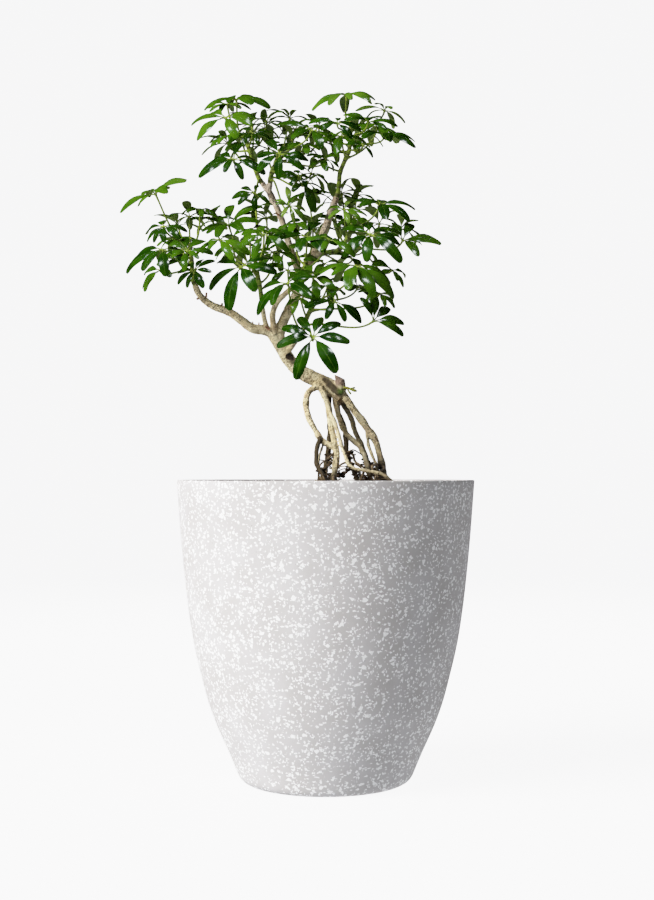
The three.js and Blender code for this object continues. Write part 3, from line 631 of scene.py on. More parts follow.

# Every corner is lifted or sunk by the bark's relief, and is told what its bark is like there and how much
# shade is painted on it.
grain_layer = shape.verts.layers.float_vector.new("grain")
marks = {name: shape.verts.layers.float.new(name)
         for name in ("young", "knot", "cut", "moss", "hollow_shade_and_scars", "earth", "painted_shadow")}
knot_at, moss_at = place(*KNOT_EYE), place(*MOSS)
(ring_height, ring_radius, ring_width), (pit_depth, pit_radius) = KNOT_RING, KNOT_PIT
painted_shadow = [place(*end) for end in PAINTED_SHADOW]
painted_shadow_length = math.dist(*painted_shadow)
for corner, at, grain, limb in zip(shape.verts, corners, grain_at, owner[nearest]):
    rooted, branched = first_root <= limb < first_branch, limb >= first_branch
    spot = Vector(grain)
    turn = math.atan2(grain[1], grain[0])
    wander = 0.5 * noise.noise(Vector((math.cos(turn), math.sin(turn), grain[2] * 0.05)))
    ring = 0 if rooted else hump((grain[2] / SCAR_SPACING + wander) % 1 - 0.5, SCAR_WIDTH)
    lumps = sum(height * noise.noise(spot * fineness) for height, fineness in LUMPS)
    rise = lumps * (ROOT_LUMPS if rooted else LIMB_LUMPS) + SCAR_RISE * ring
    off_knot = math.dist(at * (1, 1, 1.25), knot_at * (1, 1, 1.25))
    rise += ring_height * hump(off_knot - ring_radius, ring_width) - pit_depth * hump(off_knot, pit_radius)
    if limb == stub_number:
        rise *= STUB_LUMPS
    # How near each corner lies to the streak of painted shadow.
    along_painted_shadow = within((at - painted_shadow[0]) @ (painted_shadow[1] - painted_shadow[0]) / painted_shadow_length ** 2)
    off_painted_shadow = math.dist(at, painted_shadow[0] + along_painted_shadow * (painted_shadow[1] - painted_shadow[0]))
    stained = ROOT_STAINS.get(int(limb) - first_root, 0.05) if rooted else 0
    earth = stained + max(0, 1 - (at[2] - EARTH_FROM) / (EARTH_OVER + STAIN_OVER * stained))
    corner.co += corner.normal * rise * MM
    corner[grain_layer] = spot * MM
    for name, value in {
        "young": within((at[2] - YOUNG_FROM) / YOUNG_OVER) if branched else 0,
        "knot": hump(off_knot, KNOT_DARK, 4),
        "cut": within((at[2] - SAWN_FROM) / SAWN_OVER) if limb == stub_number else 0,
        "moss": hump(math.dist(at, moss_at), MOSS_RADIUS),
        # Painted shade in the hollows between the bark's lumps, plus a share of the scar rings.
        "hollow_shade_and_scars": within(0.5 - 1.1 * lumps) + 0.35 * ring,
        "earth": earth if rooted else 0,
        # A dark streak of painted shadow beside the stub.
        "painted_shadow": hump(off_painted_shadow, PAINTED_SHADOW_RADIUS, 4),
    }.items():
        corner[marks[name]] = value

bark = Finish("bark")
young, knot, cut, moss, hollow_shade_and_scars, earth, painted_shadow = (bark.mark(name) for name in marks)
grain = bark.node("Attribute", {"attribute_name": "grain"}, {}, "Vector")
along_grain = bark.node("Mapping", {}, {"Vector": grain, "Scale": (1, 1, 0.16)})
across_grain = bark.node("Mapping", {}, {"Vector": grain, "Scale": (0.28, 0.28, 1)})
patches = bark.cloud(75, 4, 0.6)
flecks = bark.cloud(460, 4, 0.7)
fibres = bark.cloud(900, 4, 0.65, along_grain)
rings = bark.cloud(560, 4, 0.65, across_grain)
pores = bark.node("TexVoronoi", {}, {"Vector": across_grain, "Scale": 900})
pore_lot = bark.node("SeparateColor", {}, {"Color": bark.node("TexVoronoi", {}, {
    "Vector": across_grain, "Scale": 900}, "Color")})
pore = bark.graded(pores, 0.44, 0.26) * (pore_lot > 0.72)
skin = bark.layered(
    bark.shaded(patches, 0.3, 0.7, OLD_BARK),
    (bark.graded(rings, 0.60, 0.70) * 0.7, RING_BROWN),
    # Painted shade in the bark's hollows and on its scar rings, broken up by the fibres.
    (bark.graded(hollow_shade_and_scars + fibres * 0.5, 0.78, 1.15) * 0.6, SHADE_AND_SCAR_BROWN),
    (bark.graded(bark.cloud(48, 3, 0.6), 0.52, 0.68) * 0.35, WARM_BROWN),
    (young, bark.shaded(patches, 0.3, 0.7, YOUNG_BARK)),
    (bark.graded(flecks, 0.56, 0.70) * 0.42, FLECK_BROWN),
    (bark.graded(fibres, 0.35, 0.75) * 0.35, PALE_FIBRE),
    (pore * 0.65, PORE_BROWN),
    (bark.graded(earth + patches * 0.8, 0.45, 1.05) * 0.95, EARTH_BROWN),
    # The painted shadow streak beside the stub, broken up by the bark's patches and fibres.
    (bark.graded(painted_shadow + patches * 0.4 + fibres * 0.5, 0.8, 1.25) * 0.9, PAINTED_SHADOW_BROWN),
    (cut, bark.shaded(fibres, 0.3, 0.7, SAWN_WOOD)),
    (bark.graded(knot + fibres * 0.4, 0.55, 0.85), bark.shaded(flecks + hollow_shade_and_scars * 0.3, 0.45, 0.75, EYE_BROWN)),
    (moss * bark.graded(patches, 0.25, 0.5), MOSS_GREEN))
bark.finish({
    "Base Color": skin,
    "Roughness": 0.74 + pore * 0.12,
    "Specular IOR Level": 0.35,
    "Normal": bark.relief(fibres * 0.6 + rings * 0.9 + flecks * 0.5 - pore * 0.9 + patches, 0.0015),
})
piece("trunk_and_roots", shape, [bark], ["trunk"], crisp=70)


# ---- Fine roots, soil caught in them, the sprout and the dead spurs ----
# Thin roots run from one raised root to the next and into the soil, with crumbs of dark soil still caught in
# them. A short green sprout stands beside the pruned stub, and dead spurs of fallen leaf stalks stand on the
# branches.
FINE_ROOTS = 44
FINE_SEED = 5
# Fine roots start and end on raised roots between these heights, and none starts under the third.
ROOT_ZONE = (300, 366)
LOWEST_START = 318
# A fine root drops at least this much, and spans a distance in this range.
LEAST_DROP = 4
SPAN = (8, 46)
CAUGHT_UNDER = 352
# Clumps of soil: places across, depth and up, and how far each spreads.
CLUMPS = [((5.6, -6, 357), 4.5), ((27, 4, 360), 5), ((47, 6, 352), 4.5), ((51, 2, 343), 5.5),
          ((36, 6, 339), 6), ((16, 0, 337), 6), ((-4, -20, 342), 3.5), ((8, 10, 333), 6), ((27, -2, 346), 4),
          ((60, 6, 348), 3), ((44, -10, 333), 7), ((62, 4, 332), 6), ((2, 4, 332), 5)]
CLUMP_CRUMBS = 48
CLINGING = 160
# Twigs of the sprout: places across, depth and up, and the radius at the foot of each.
SPROUT = [([(20.5, -8, 434.5), (24, -9, 435), (28.5, -10, 433), (35, -11, 431)], 1.5),
          ([(24, -9, 435), (25.5, -9.5, 431.5), (28.5, -10, 427.5)], 1.1),
          ([(27, -9.7, 433.8), (30, -9, 434.5), (33, -8.5, 435)], 1.0)]
SPROUT_FORM = np.array([1.1, 0.9, 0.8, 0.8, 0.75, 0.85, 1.05, 1.0, 0.35])
# Dead spurs: foot and tip of each across and up, its depth and its thickness.
SPURS = [((-139.5, 535.5), (-144.2, 534.0), -6.5, 1.5), ((-133.4, 536), (-133.0, 541.4), -6.5, 1.3),
         ((-116.4, 524), (-115.4, 529.6), -5.5, 1.4), ((-112.8, 522), (-111.6, 528.2), -5.5, 1.3),
         ((-81.6, 502), (-81.4, 509), -3.5, 0.9), ((-74.8, 501), (-74.4, 508), -3, 0.9),
         ((-62.5, 499.5), (-67.6, 503.4), -7.5, 1.3), ((-52, 503), (-56.6, 507), -3, 1.0),
         ((-35, 530), (-39.2, 532.6), 2, 1.1), ((-52, 628), (-56, 630.4), -4, 1.2)]
SPUR_FORM = np.array([1.3, 1.0, 0.85, 0.8, 0.9, 0.6])


def patchy(name, grain, low, high, colours, rough, depth):
    """A finish of two colours in patches, with a relief of the same patches."""
    made = Finish(name)
    patches = made.cloud(*grain)
    made.finish({"Base Color": made.shaded(patches, low, high, colours), "Roughness": rough,
                 "Normal": made.relief(patches, depth)})
    return made


def grown(name, twigs, sides, finish, slot):
    """A piece of thin twigs, each a line of centres and its radii."""
    shape = bmesh.new()
    for line, radii in twigs:
        sweep(shape, line, radii, sides)
    bmesh.ops.recalc_face_normals(shape, faces=shape.faces)
    piece(name, shape, [finish], [], crisp=70)


def jitter(draw, reach):
    """A random step of up to a reach each way."""
    return np.array([draw.uniform(-reach, reach) for _ in range(3)])


draw = random.Random(FINE_SEED)
root_spots = [(number, centre) for number in range(first_root, first_branch)
              for centre in wood_lines[number][0] if ROOT_ZONE[0] < centre[2] < ROOT_ZONE[1]]
threads, caught = [], []
for _ in range(FINE_ROOTS):
    number, start = draw.choice([spot for spot in root_spots if spot[1][2] > LOWEST_START])
    near = [spot for spot in root_spots if spot[0] != number and spot[1][2] < start[2] - LEAST_DROP
            and SPAN[0] < math.dist(spot[1], start) < SPAN[1]]
    if not near:
        continue
    end = draw.choice(near)[1]
    middle = (start + end) / 2 + np.array([draw.uniform(-7, 7), draw.uniform(-9, 7), draw.uniform(-7, 3)])
    quarter = (start + middle) / 2 + jitter(draw, 4)
    after = (middle + end) / 2 + jitter(draw, 4)
    thick = draw.uniform(0.6, 1.7)
    line = spaced_curve([start, quarter, middle, after, end], np.linspace(0, 1, 16))[0]
    threads.append((line, np.linspace(thick, 0.75 * thick, 16)))
    caught += [point for point in line if point[2] < CAUGHT_UNDER]
rootlet = patchy("rootlet", (190, 4, 0.65), 0.38, 0.62,
                 [(0.03, 0.019, 0.011, 1), (0.15, 0.1075, 0.06, 1)], 0.85, 0.0008)
grown("fine_roots", threads, 6, rootlet, "bark")

shape = bmesh.new()
spots = [draw.choice(caught) for _ in range(CLINGING)]
for middle, spread in CLUMPS:
    spots += [place(*middle) + np.array([draw.gauss(0, spread / 2) for _ in range(3)])
              for _ in range(CLUMP_CRUMBS)]
for spot in spots:
    size = draw.uniform(1.2, 3.4) if draw.random() < 0.8 else draw.uniform(3.4, 6.5)
    crumb(shape, spot + jitter(draw, 0.6) * size, size, draw)
piece("caught_soil", shape, [peat], [], crisp=30)

sprout_skin = Finish("sprout")
blush = sprout_skin.graded(sprout_skin.cloud(240, 2), 0.45, 0.6) * 0.4
sprout_skin.finish({
    "Base Color": sprout_skin.between(blush, (0.16, 0.24, 0.018, 1), (0.20, 0.020, 0.008, 1)),
    "Roughness": 0.5,
    "Normal": sprout_skin.relief(sprout_skin.cloud(900, 2), 0.0002),
})
grown("sprout", [(spaced_curve([place(*spot) for spot in twig], np.linspace(0, 1, 9))[0], thick * SPROUT_FORM)
                 for twig, thick in SPROUT], 8, sprout_skin, "foliage")

dead_wood = patchy("dead_spur", (420, 3), 0.4, 0.6, [(0.13, 0.05, 0.025, 1), (0.34, 0.19, 0.10, 1)],
                   0.8, 0.0003)
twigs = []
for (foot_across, foot_up), (tip_across, tip_up), depth, thick in SPURS:
    ends = np.array([place(foot_across, depth, foot_up), place(tip_across, depth - 0.6, tip_up)])
    twigs.append((ends[0] + np.linspace(0, 1, 6)[:, None] * (ends[1] - ends[0]), thick * SPUR_FORM))
grown("dead_spurs", twigs, 8, dead_wood, "bark")


# ---- Leafy stems: green shoots and leaf stalks ----
# A green shoot goes on from the end of each branch. Long thin leaf stalks spring from it, each ending in a
# small swollen hub from which five to eight leaflets spread like the ribs of an umbrella.
#
# Each shoot: its places across and up, the depths at its ends, and its leaves. A leaf: the share of the shoot
# where its stalk springs, its hub (across, depth, up), the length of its longest leaflet, how many leaflets
# it has, and where the tips seen from the front lie (across and up from the hub).
SHOOTS = {
    "top_left": ([(-78, 678), (-82, 691), (-86, 703), (-90, 716)], (-3, -6), [
        (1, (-100, -8, 757), 42, 7, [(-37, -9), (-8, -10), (20, 8), (39, -12), (20, -14), (-8, 6)]),
        (0.9, (-112, -45, 737), 40, 7, [(-18, 11), (-39, -6), (-31, -27), (15, -28), (31, -12), (18, 5)]),
        (0.7, (-109, 35, 708), 38, 7, [(-30, 3), (-31, -12), (-10, 9), (3, -2), (11, 7)]),
        (0.5, (-103, -48, 690), 40, 8, [(-21, 8), (-30, -7), (-37, -22), (-13, -14), (6, -25), (19, 5),
         (12, 25)]),
        (0.8, (-82, -24, 720), 32, 6, [(-14, 9), (8, -16), (25, 1)]),
        (0.95, (-68, 38, 725), 28, 6, [(0, 17), (20, 4)]),
        (0, (-80, -40, 653), 26, 6, [(-16, 7), (-25, -4), (-18, -14), (4, 11)]),
        (0.6, (-82, 48, 728), 38, 6, [(-24, 8), (22, 6)]),
    ]),
    "top_middle": ([(-60, 676), (-56, 686), (-52, 697)], (-6, -8), [
        (1, (-40, 20, 736), 32, 7, [(-24, 1), (-7, 6), (2, 6)]),
        (0.9, (-51, -55, 696), 36, 7, [(-1, -30), (31, -7), (28, -17), (-25, -1), (-9, 22), (1, 11)]),
        (1, (-16, -22, 723), 41, 6, [(-39, 9), (14, 8)]),
        (0.8, (-37, 14, 711), 34, 6, [(31, 4), (-12, 14)]),
        (0.3, (-30, -42, 672), 22, 6, [(15, -4), (-4, 9)]),
        (0.1, (-27, -22, 663), 38, 5, [(15, -34), (-10, -13), (16, -21)]),
        (0.7, (1, 4, 690), 24, 5, [(-10, -3), (14, -10)]),
        (0, (-41, -52, 638), 26, 8, [(1, 23), (18, -3), (-12, 10), (21, -16), (8, -20), (-4, -16),
         (-11, 3)]),
    ]),
    "top_right": ([(15, 664), (16, 675), (21, 688), (26, 700), (28, 718), (28, 734)], (6, 4), [
        (1, (23, 5, 763), 44, 8, [(-43, -16), (-36, -21), (-28, -19), (0, -9), (32, -8), (28, -12),
         (11, -12)]),
        (0.9, (13, -32, 731), 34, 6, [(-32, 3), (2, 9), (-18, -11), (16, 0)]),
        (0.9, (66, 30, 745), 36, 6, [(-34, -3), (7, -4), (-12, 2)]),
        (0.8, (48, -38, 732), 35, 6, [(33, -1), (-26, -4), (-11, 8), (-3, -3)]),
        (0.7, (66, -12, 717), 38, 6, [(-26, -9), (18, -1), (35, -3), (35, -16), (4, -15)]),
        (0.6, (42, -30, 706), 20, 5, [(11, -12), (-8, -6)]),
        (0.6, (5, 34, 711), 30, 5, [(9, -21), (-18, 4)]),
        (0.7, (34, 62, 722), 38, 6, [(24, 8), (-20, 8)]),
    ]),
    "right": ([(14, 589), (23, 600), (29, 613)], (-9, -20), [
        (0.9, (50, -52, 606), 45, 8, [(-33, 10), (-25, -12), (-8, -33), (35, -31), (33, -11), (16, 8)]),
        (0.4, (86, -8, 599), 43, 7, [(-17, 21), (-14, 12), (-3, 23), (10, 25), (42, 9), (18, 0)]),
        (1, (60, -22, 639), 42, 7, [(41, -3), (33, -21), (5, -22), (-20, -8), (3, 6)]),
        (0.8, (21, -34, 634), 28, 6, [(-20, 2), (8, 14)]),
        (0.9, (32, 38, 633), 34, 6, [(8, 27), (18, 11), (-10, 16)]),
        (0.6, (10, 34, 641), 36, 6, [(-33, 8), (-6, 18)]),
        (0.7, (60, 46, 618), 38, 6, [(24, 10), (-16, 14)]),
    ]),
    "front_low": ([(-21, 513), (-16, 523), (-9, 534)], (-22, -36), [
        (0.95, (33, -72, 571), 48, 8, [(-26, -12), (-15, -16), (-8, -31), (26, -35), (39, -37), (45, -19),
         (-40, -8)]),
        (0.9, (36, -18, 547), 34, 6, [(16, -11), (-12, 16)]),
        (0.6, (10, -78, 531), 36, 5, [(12, -22), (29, -22), (-6, 16)]),
        (0.3, (-14, -92, 491), 50, 8, [(-18, -46), (25, -39), (39, -6), (28, 18), (2, 25), (-17, 23),
         (-31, 15), (-40, -7)]),
        (0.15, (53, -48, 509), 37, 5, [(-5, 26), (5, 30), (16, 21), (36, 13), (34, -6)]),
        (0, (-42, -39, 566), 30, 5, [(-28, 5), (6, 12)]),
        (1, (-43, -76, 551), 44, 7, [(-31, -6), (-30, -35), (-18, -28), (27, -19), (31, 7)]),
    ]),
    "centre": ([(-26, 562), (-23, 570), (-22, 580)], (-20, -24), [
        (1, (-21, -46, 603), 46, 6, [(-45, -9), (-38, 9), (14, 22), (-9, -21)]),
        (0.5, (4, -60, 600), 33, 5, [(28, -20), (-8, -14)]),
    ]),
    "centre_left": ([(-73, 545), (-75, 556), (-78, 572)], (-10, -14), [
        (0.8, (-94, -50, 570), 50, 6, [(-36, -23), (-13, -49), (17, -31), (-27, 11)]),
        (0.9, (-69, -74, 606), 36, 6, [(-25, 3), (-11, -28), (20, 6)]),
        (1, (-108, -4, 616), 42, 8, [(-4, 28), (37, 24), (-23, 14), (-32, -5), (-24, -11), (14, -14)]),
        (0.6, (-118, -34, 600), 38, 6, [(-17, -3), (-14, -17), (16, -25), (33, -18)]),
        (1, (-66, 38, 623), 34, 7, [(-32, -4), (10, 3), (-10, 6), (4, 18)]),
        (0.9, (-126, 26, 621), 34, 6, [(-32, -4), (10, 12)]),
        (0.5, (-92, 44, 590), 38, 6, [(-22, 10), (22, 8)]),
    ]),
    "left": ([(-149, 566), (-150, 580), (-152, 598)], (-9, -11), [
        (0.95, (-190, -16, 651), 44, 8, [(-40, -18), (-23, -10), (-10, -6), (33, 7), (22, -4), (9, 11)]),
        (0.95, (-181, -40, 615), 32, 7, [(-25, -7), (-19, -15), (-9, -19), (-3, -21), (-9, 9)]),
        (0.6, (-182, -54, 589), 44, 7, [(-32, -3), (-9, -9), (-41, -24), (-24, -23)]),
        (0.3, (-184, -18, 566), 34, 7, [(-20, 1), (-16, -26), (15, -11), (-1, 15), (13, 13)]),
        (0.8, (-155, -58, 587), 32, 8, [(-25, 13), (-7, 19), (16, 16), (-25, -4), (-15, -9), (14, -10)]),
        (0.2, (-146, -50, 566), 30, 8, [(-21, -2), (-20, -13), (-8, -20), (19, -3), (20, 13), (9, 14),
         (-5, 11)]),
        (1, (-165, 44, 616), 34, 6, [(-4, -14), (-25, 8), (16, 8)]),
        (0.5, (-160, 56, 590), 34, 6, [(-20, 8), (18, 8)]),
    ]),
    "back": ([(-10, 592), (-6, 604)], (39, 44), [
        (0.6, (-44, 74, 612), 40, 7, []),
        (0.9, (6, 92, 622), 40, 7, []),
        (1, (-20, 64, 652), 38, 6, []),
        (0.3, (30, 58, 578), 38, 7, []),
    ]),
}
STEM_DIAMETER = 6
STEM_TAPER = 0.77
STALK_DIAMETER = 2.2
STALK_TAPER = 0.77
SHOOT_START = 5
GAP = 0.3
FIRST_SPRING = 0.06
LAST_SPRING = 0.96
STALK_OUT = 0.3
STALK_UP = 0.1
STALK_BEND = 0.35
LEAFLET_SPACING = 0.74
# The leaflets of a full leaf spread over this many half turns, and another one fits into a gap this many
# times as wide as their spacing.
HALF_TURNS = 1.92
GAP_TO_FILL = 1.5
FIRST_HIDDEN_TURN = 0.4
REACH_SHARES = (0.7, 0.8, 0.9, 1)
HIDDEN_SHARE = 0.78
HIDDEN_STEP = 0.06
SPACING_PASSES = 40
STALK_LEAN = 0.9
LIGHT_LEAN = 0.4
LEAFLET_DROOP = 0.3
LEAFLET_ROLL = 0.85
RISE_RANGE = 0.3
TILTS = (0, 0.25, 0.5, 0.75, 1, 1.25)
TILT_TURNS = 12
LIFTS = (-0.45, -0.3, -0.15, 0, 0.15)
STRAY_COST = 60
LIFT_COST = 40
BLADE_WIDTH_SHARE = 0.3
BLADE_ARCH_SHARE = 0.17
UP = np.array((0, 0, 1.0))
LIGHT = np.array((-0.2, -0.9, 0.4)) / math.hypot(0.2, 0.9, 0.4)


def unit(way):
    """A way made one long."""
    return way / np.linalg.norm(way)


def dot(a, b):
    """How much of one way lies along another."""
    return a[0] * b[0] + a[1] * b[1] + a[2] * b[2]


def tip_in_depth(across, up, facing, lift, length):
    """The tip seen at across and up from its hub, at the depth that suits the leaf's own cone best."""
    shown = math.hypot(across, up)
    best_off, best = math.inf, None
    for share in REACH_SHARES:
        reach = max(share * length, shown + 1)
        depth = math.sqrt(reach * reach - shown * shown)
        for side in (-depth, depth):
            rise = dot((across, side, up), facing) / reach
            if abs(rise - lift) < best_off - 1e-9:
                best_off, best = abs(rise - lift), (side, reach, rise)
    return best


def space_out(leaflets):
    """Moves leaflets apart until none stands nearer to its neighbour than their spacing."""
    leaflets.sort(key=lambda leaflet: leaflet[0])
    count = len(leaflets)
    apart = min(LEAFLET_SPACING, HALF_TURNS * math.pi / count)
    for _ in range(SPACING_PASSES):
        moved = False
        for i, leaflet in enumerate(leaflets):
            wraps = i + 1 == count
            after = leaflets[0 if wraps else i + 1]
            short = apart - (after[0] + (math.tau if wraps else 0) - leaflet[0])
            if short > 0:
                leaflet[0] -= short / 2
                after[0] += short / 2
                moved = True
        if not moved:
            return


def leaflets_facing(length, count, tips, facing, lift):
    """The leaflets of a leaf that faces one way, each [turn, rise, reach, shown tip], and the leaf's two
    cross ways."""
    fx, fy, fz = facing
    level = math.sqrt(1 - fx * fx)
    first = (level, -fx * fy / level, -fx * fz / level)
    second = (fy * first[2] - fz * first[1], fz * first[0] - fx * first[2], fx * first[1] - fy * first[0])
    leaflets = []
    for across, up in tips:
        depth, reach, rise = tip_in_depth(across, up, facing, lift, length)
        turn = math.atan2(dot((across, depth, up), second), dot((across, depth, up), first))
        rise = min(lift + RISE_RANGE, max(lift - RISE_RANGE, rise))
        leaflets.append([turn, rise, reach, (across, up)])
    if not leaflets:
        leaflets.append([FIRST_HIDDEN_TURN, lift, length, None])
    while len(leaflets) < count:
        leaflets.sort(key=lambda leaflet: leaflet[0])
        turns = [leaflet[0] for leaflet in leaflets] + [leaflets[0][0] + math.tau]
        gap, turn = 0, 0
        for before, after in zip(turns, turns[1:]):
            if after - before > gap:
                gap, turn = after - before, before + (after - before) / 2
        if gap < GAP_TO_FILL * LEAFLET_SPACING:
            break
        leaflets.append([turn, lift, length * (HIDDEN_SHARE + HIDDEN_STEP * (len(leaflets) % 4)), None])
    space_out(leaflets)
    return leaflets, first, second


def misfit(leaflets, first, second, facing):
    """The mean square of how far a leaf's tips stand from the places where they show."""
    total, seen = 0, 0
    for turn, rise, reach, shown in leaflets:
        if shown:
            flat = math.sqrt(1 - rise * rise)
            ahead, aside = math.cos(turn) * flat, math.sin(turn) * flat
            across = reach * (ahead * first[0] + aside * second[0] + rise * facing[0])
            up = reach * (ahead * first[2] + aside * second[2] + rise * facing[2])
            total += (across - shown[0]) ** 2 + (up - shown[1]) ** 2
            seen += 1
    return total / max(1, seen)


facings = [(math.sin(tilt) * math.cos(math.tau * side / TILT_TURNS),
            math.sin(tilt) * math.sin(math.tau * side / TILT_TURNS), math.cos(tilt))
           for tilt in TILTS for side in range(TILT_TURNS)]


def leaf_stand(spring, hub, length, count, tips):
    """How a leaf stands: its facing and its leaflets. It leans as its stalk runs and to the light, and turns
    from there as far as the tips of its leaflets show that it does."""
    usual = unit(STALK_LEAN * unit(hub - spring) + UP + LIGHT_LEAN * LIGHT)
    best_cost, best = math.inf, None
    for facing in facings:
        stray = STRAY_COST * (1 - dot(facing, usual))
        for lift in LIFTS:
            cost = stray + LIFT_COST * (lift + LEAFLET_DROOP) ** 2
            if cost >= best_cost:
                continue
            leaflets, first, second = leaflets_facing(length, count, tips, facing, lift)
            cost += misfit(leaflets, first, second, facing)
            if cost < best_cost - 1e-9:
                best_cost, best = cost, (facing, leaflets, first, second)
    facing, leaflets, first, second = best
    facing, first, second = map(np.array, (facing, first, second))
    stands = []
    for turn, rise, reach, _ in leaflets:
        outward = math.cos(turn) * first + math.sin(turn) * second
        along = outward * math.sqrt(1 - rise * rise) + facing * rise
        side = unit(np.cross(along, facing + LEAFLET_ROLL * LIGHT))
        stands.append({"hub": hub, "along": along, "side": side, "top": np.cross(side, along),
                       "reach": reach})
    return facing, stands


def blade_centre(stand, share):
    """A point of a leaflet's arched middle line."""
    arch = 4 * share * (1 - share) * BLADE_ARCH_SHARE * stand["reach"]
    return stand["hub"] + stand["along"] * share * stand["reach"] + stand["top"] * arch


def shoot_line(name):
    """The places that a shoot runs through, and the point where its branch ends."""
    shown, depths, _ = BRANCHES[name]
    wood = curve_at(places_of(shown, depths), [0.9999, 1])
    onwards = unit(wood[1] - wood[0])
    places, depths, _ = SHOOTS[name]
    return [wood[1] + onwards * GAP, wood[1] + onwards * SHOOT_START] + places_of(places, depths)


def stalk_line(spring, hub, facing, count):
    """Points of a stalk, which bends out of its shoot and up into the hub of its leaf."""
    reach = math.dist(hub, spring)
    away = unit((hub - spring) * (1, 1, 0))
    bends = (spring, spring + away * STALK_OUT * reach + UP * STALK_UP * reach,
             hub - facing * STALK_BEND * reach, hub)
    line = []
    for t in np.linspace(0, 1, count):
        weights = ((1 - t) ** 3, 3 * t * (1 - t) ** 2, 3 * t ** 2 * (1 - t), t ** 3)
        line.append(sum(weight * bend for weight, bend in zip(weights, bends)))
    return line


# Small leaves that grow further in, in the shade of the others, written as above.
INNER_LEAVES = {
    "right": [
        (0.9, (36, 30, 650), 33, 6, [(-22, 10), (-6, 14), (14, 6), (20, -8)]),
        (0.8, (18, 44, 652), 32, 6, [(-16, 6), (10, 12), (16, -4)]),
        (0.6, (32, 8, 624), 34, 7, [(-20, -12), (-4, -20), (16, -14)]),
        (0.4, (14, 24, 614), 32, 6, [(-16, 8), (12, -14)]),
        (0.7, (74, 10, 566), 30, 6, [(-14, -8), (6, -14), (16, -4)]),
        (0.9, (84, 14, 612), 30, 6, [(-16, 4), (-4, 12), (18, 6)]),
        (0.2, (42, 6, 588), 30, 6, [(-14, 10), (16, -12)]),
    ],
    "centre": [
        (0.9, (-14, 26, 612), 36, 7, [(-30, -8), (-20, 12), (12, 14), (18, -10)]),
        (0.8, (-34, -24, 618), 32, 6, [(-18, -6), (-4, -14), (14, -10)]),
        (0.6, (-40, -6, 590), 34, 6, [(-22, -4), (-10, -22), (8, -18)]),
        (0.3, (-2, -24, 573), 32, 6, [(-10, -18), (16, -12), (20, 4)]),
    ],
    "front_low": [
        (0.5, (-14, -56, 558), 34, 7, [(-22, 6), (-8, 16), (12, 12), (22, -4), (6, -24)]),
        (0.8, (2, -20, 548), 32, 6, [(-16, -14), (4, -26), (20, -10)]),
        (0.4, (-28, -44, 534), 32, 6, [(-18, -8), (-8, -18), (12, -14), (16, 4)]),
        (0.6, (60, -30, 540), 30, 6, [(-14, -10), (6, -16), (16, -6)]),
    ],
    "top_middle": [
        (0.3, (-16, 24, 674), 32, 6, [(-20, -6), (16, -10), (4, 12)]),
        (0.9, (-10, 24, 710), 32, 6, [(-16, -8), (10, -16), (18, 4)]),
        (0.8, (-34, 30, 724), 34, 7, [(-20, -6), (-8, -14), (14, -10), (20, 4)]),
        (0.7, (-24, 8, 706), 32, 6, [(-18, -10), (4, -16), (18, -8)]),
        (0.5, (-20, 28, 664), 30, 6, [(-14, 8), (10, -14), (18, 4)]),
        (0.4, (-64, 28, 702), 32, 6, [(-18, -10), (14, -12), (-6, 12)]),
    ],
    "top_right": [
        (0.3, (-4, 12, 690), 30, 6, [(-16, -10), (6, -18), (-12, 8)]),
        (0.8, (44, 30, 728), 32, 6, [(-16, 8), (18, 4), (8, -18)]),
        (0.7, (-8, 34, 726), 34, 7, [(-20, -6), (-6, -14), (16, -10), (-14, 8)]),
        (0.5, (18, -14, 716), 38, 6, [(-24, -10), (-6, -26), (16, -16)]),
        (0.5, (58, 16, 726), 40, 7, [(8, -22), (26, -8), (-18, -12)]),
    ],
    "top_left": [
        (0.4, (-92, 30, 706), 32, 6, [(-16, -14), (14, -14), (18, 6)]),
        (0.7, (-66, 20, 732), 34, 7, [(-16, -10), (4, -16), (18, -8), (20, 5)]),
        (0.9, (-110, 16, 752), 30, 6, [(-24, 2), (-20, -10), (-6, -14)]),
        (0.3, (-108, 20, 716), 32, 6, [(-24, -2), (-20, -14)]),
    ],
    "centre_left": [
        (0.5, (-58, -12, 586), 34, 7, [(-14, -22), (10, -24), (20, -4), (-20, 4)]),
        (0.4, (-104, 14, 592), 32, 6, [(-18, -14), (14, -16)]),
        (0.9, (-78, 20, 636), 34, 6, [(-18, 2), (10, 14), (18, -6)]),
        (0.7, (-84, -20, 611), 34, 7, [(-16, -8), (-4, -18), (14, -10), (20, 4)]),
    ],
    "left": [
        (0.9, (-152, 14, 626), 32, 6, [(-18, -8), (16, -8), (-2, 14)]),
        (0.95, (-140, -10, 634), 30, 6, [(-14, -6), (4, -12), (16, -4)]),
        (0.5, (-170, 20, 600), 32, 6, [(-16, -12), (14, -14)]),
    ],
}

# What a stalk is thick against its own radius, from its clasping foot to its swollen top.
STALK_FORM = [(0, 1.75), (0.05, 1.35), (0.13, 1.0), (0.86, 0.98), (0.95, 1.2), (1, 1.35)]
STALK_THICKER = 1.15
STALK_POINTS = 15
HUB_RADIUS = 1.75
# A leaflet's own short stalk: the share of the leaflet that it takes up, and its radii.
PETIOLULE_ENDS = 0.15
PETIOLULE_RADII = [1.0, 0.72, 0.65, 0.6]
# A shoot swells by this share where a stalk springs, over this length, and its leaf scars are as wide as
# the third share of their spacing.
KNOT_SWELL = 0.14
KNOT_LENGTH = 1.6
SHOOT_SCAR_WIDTH = 0.16
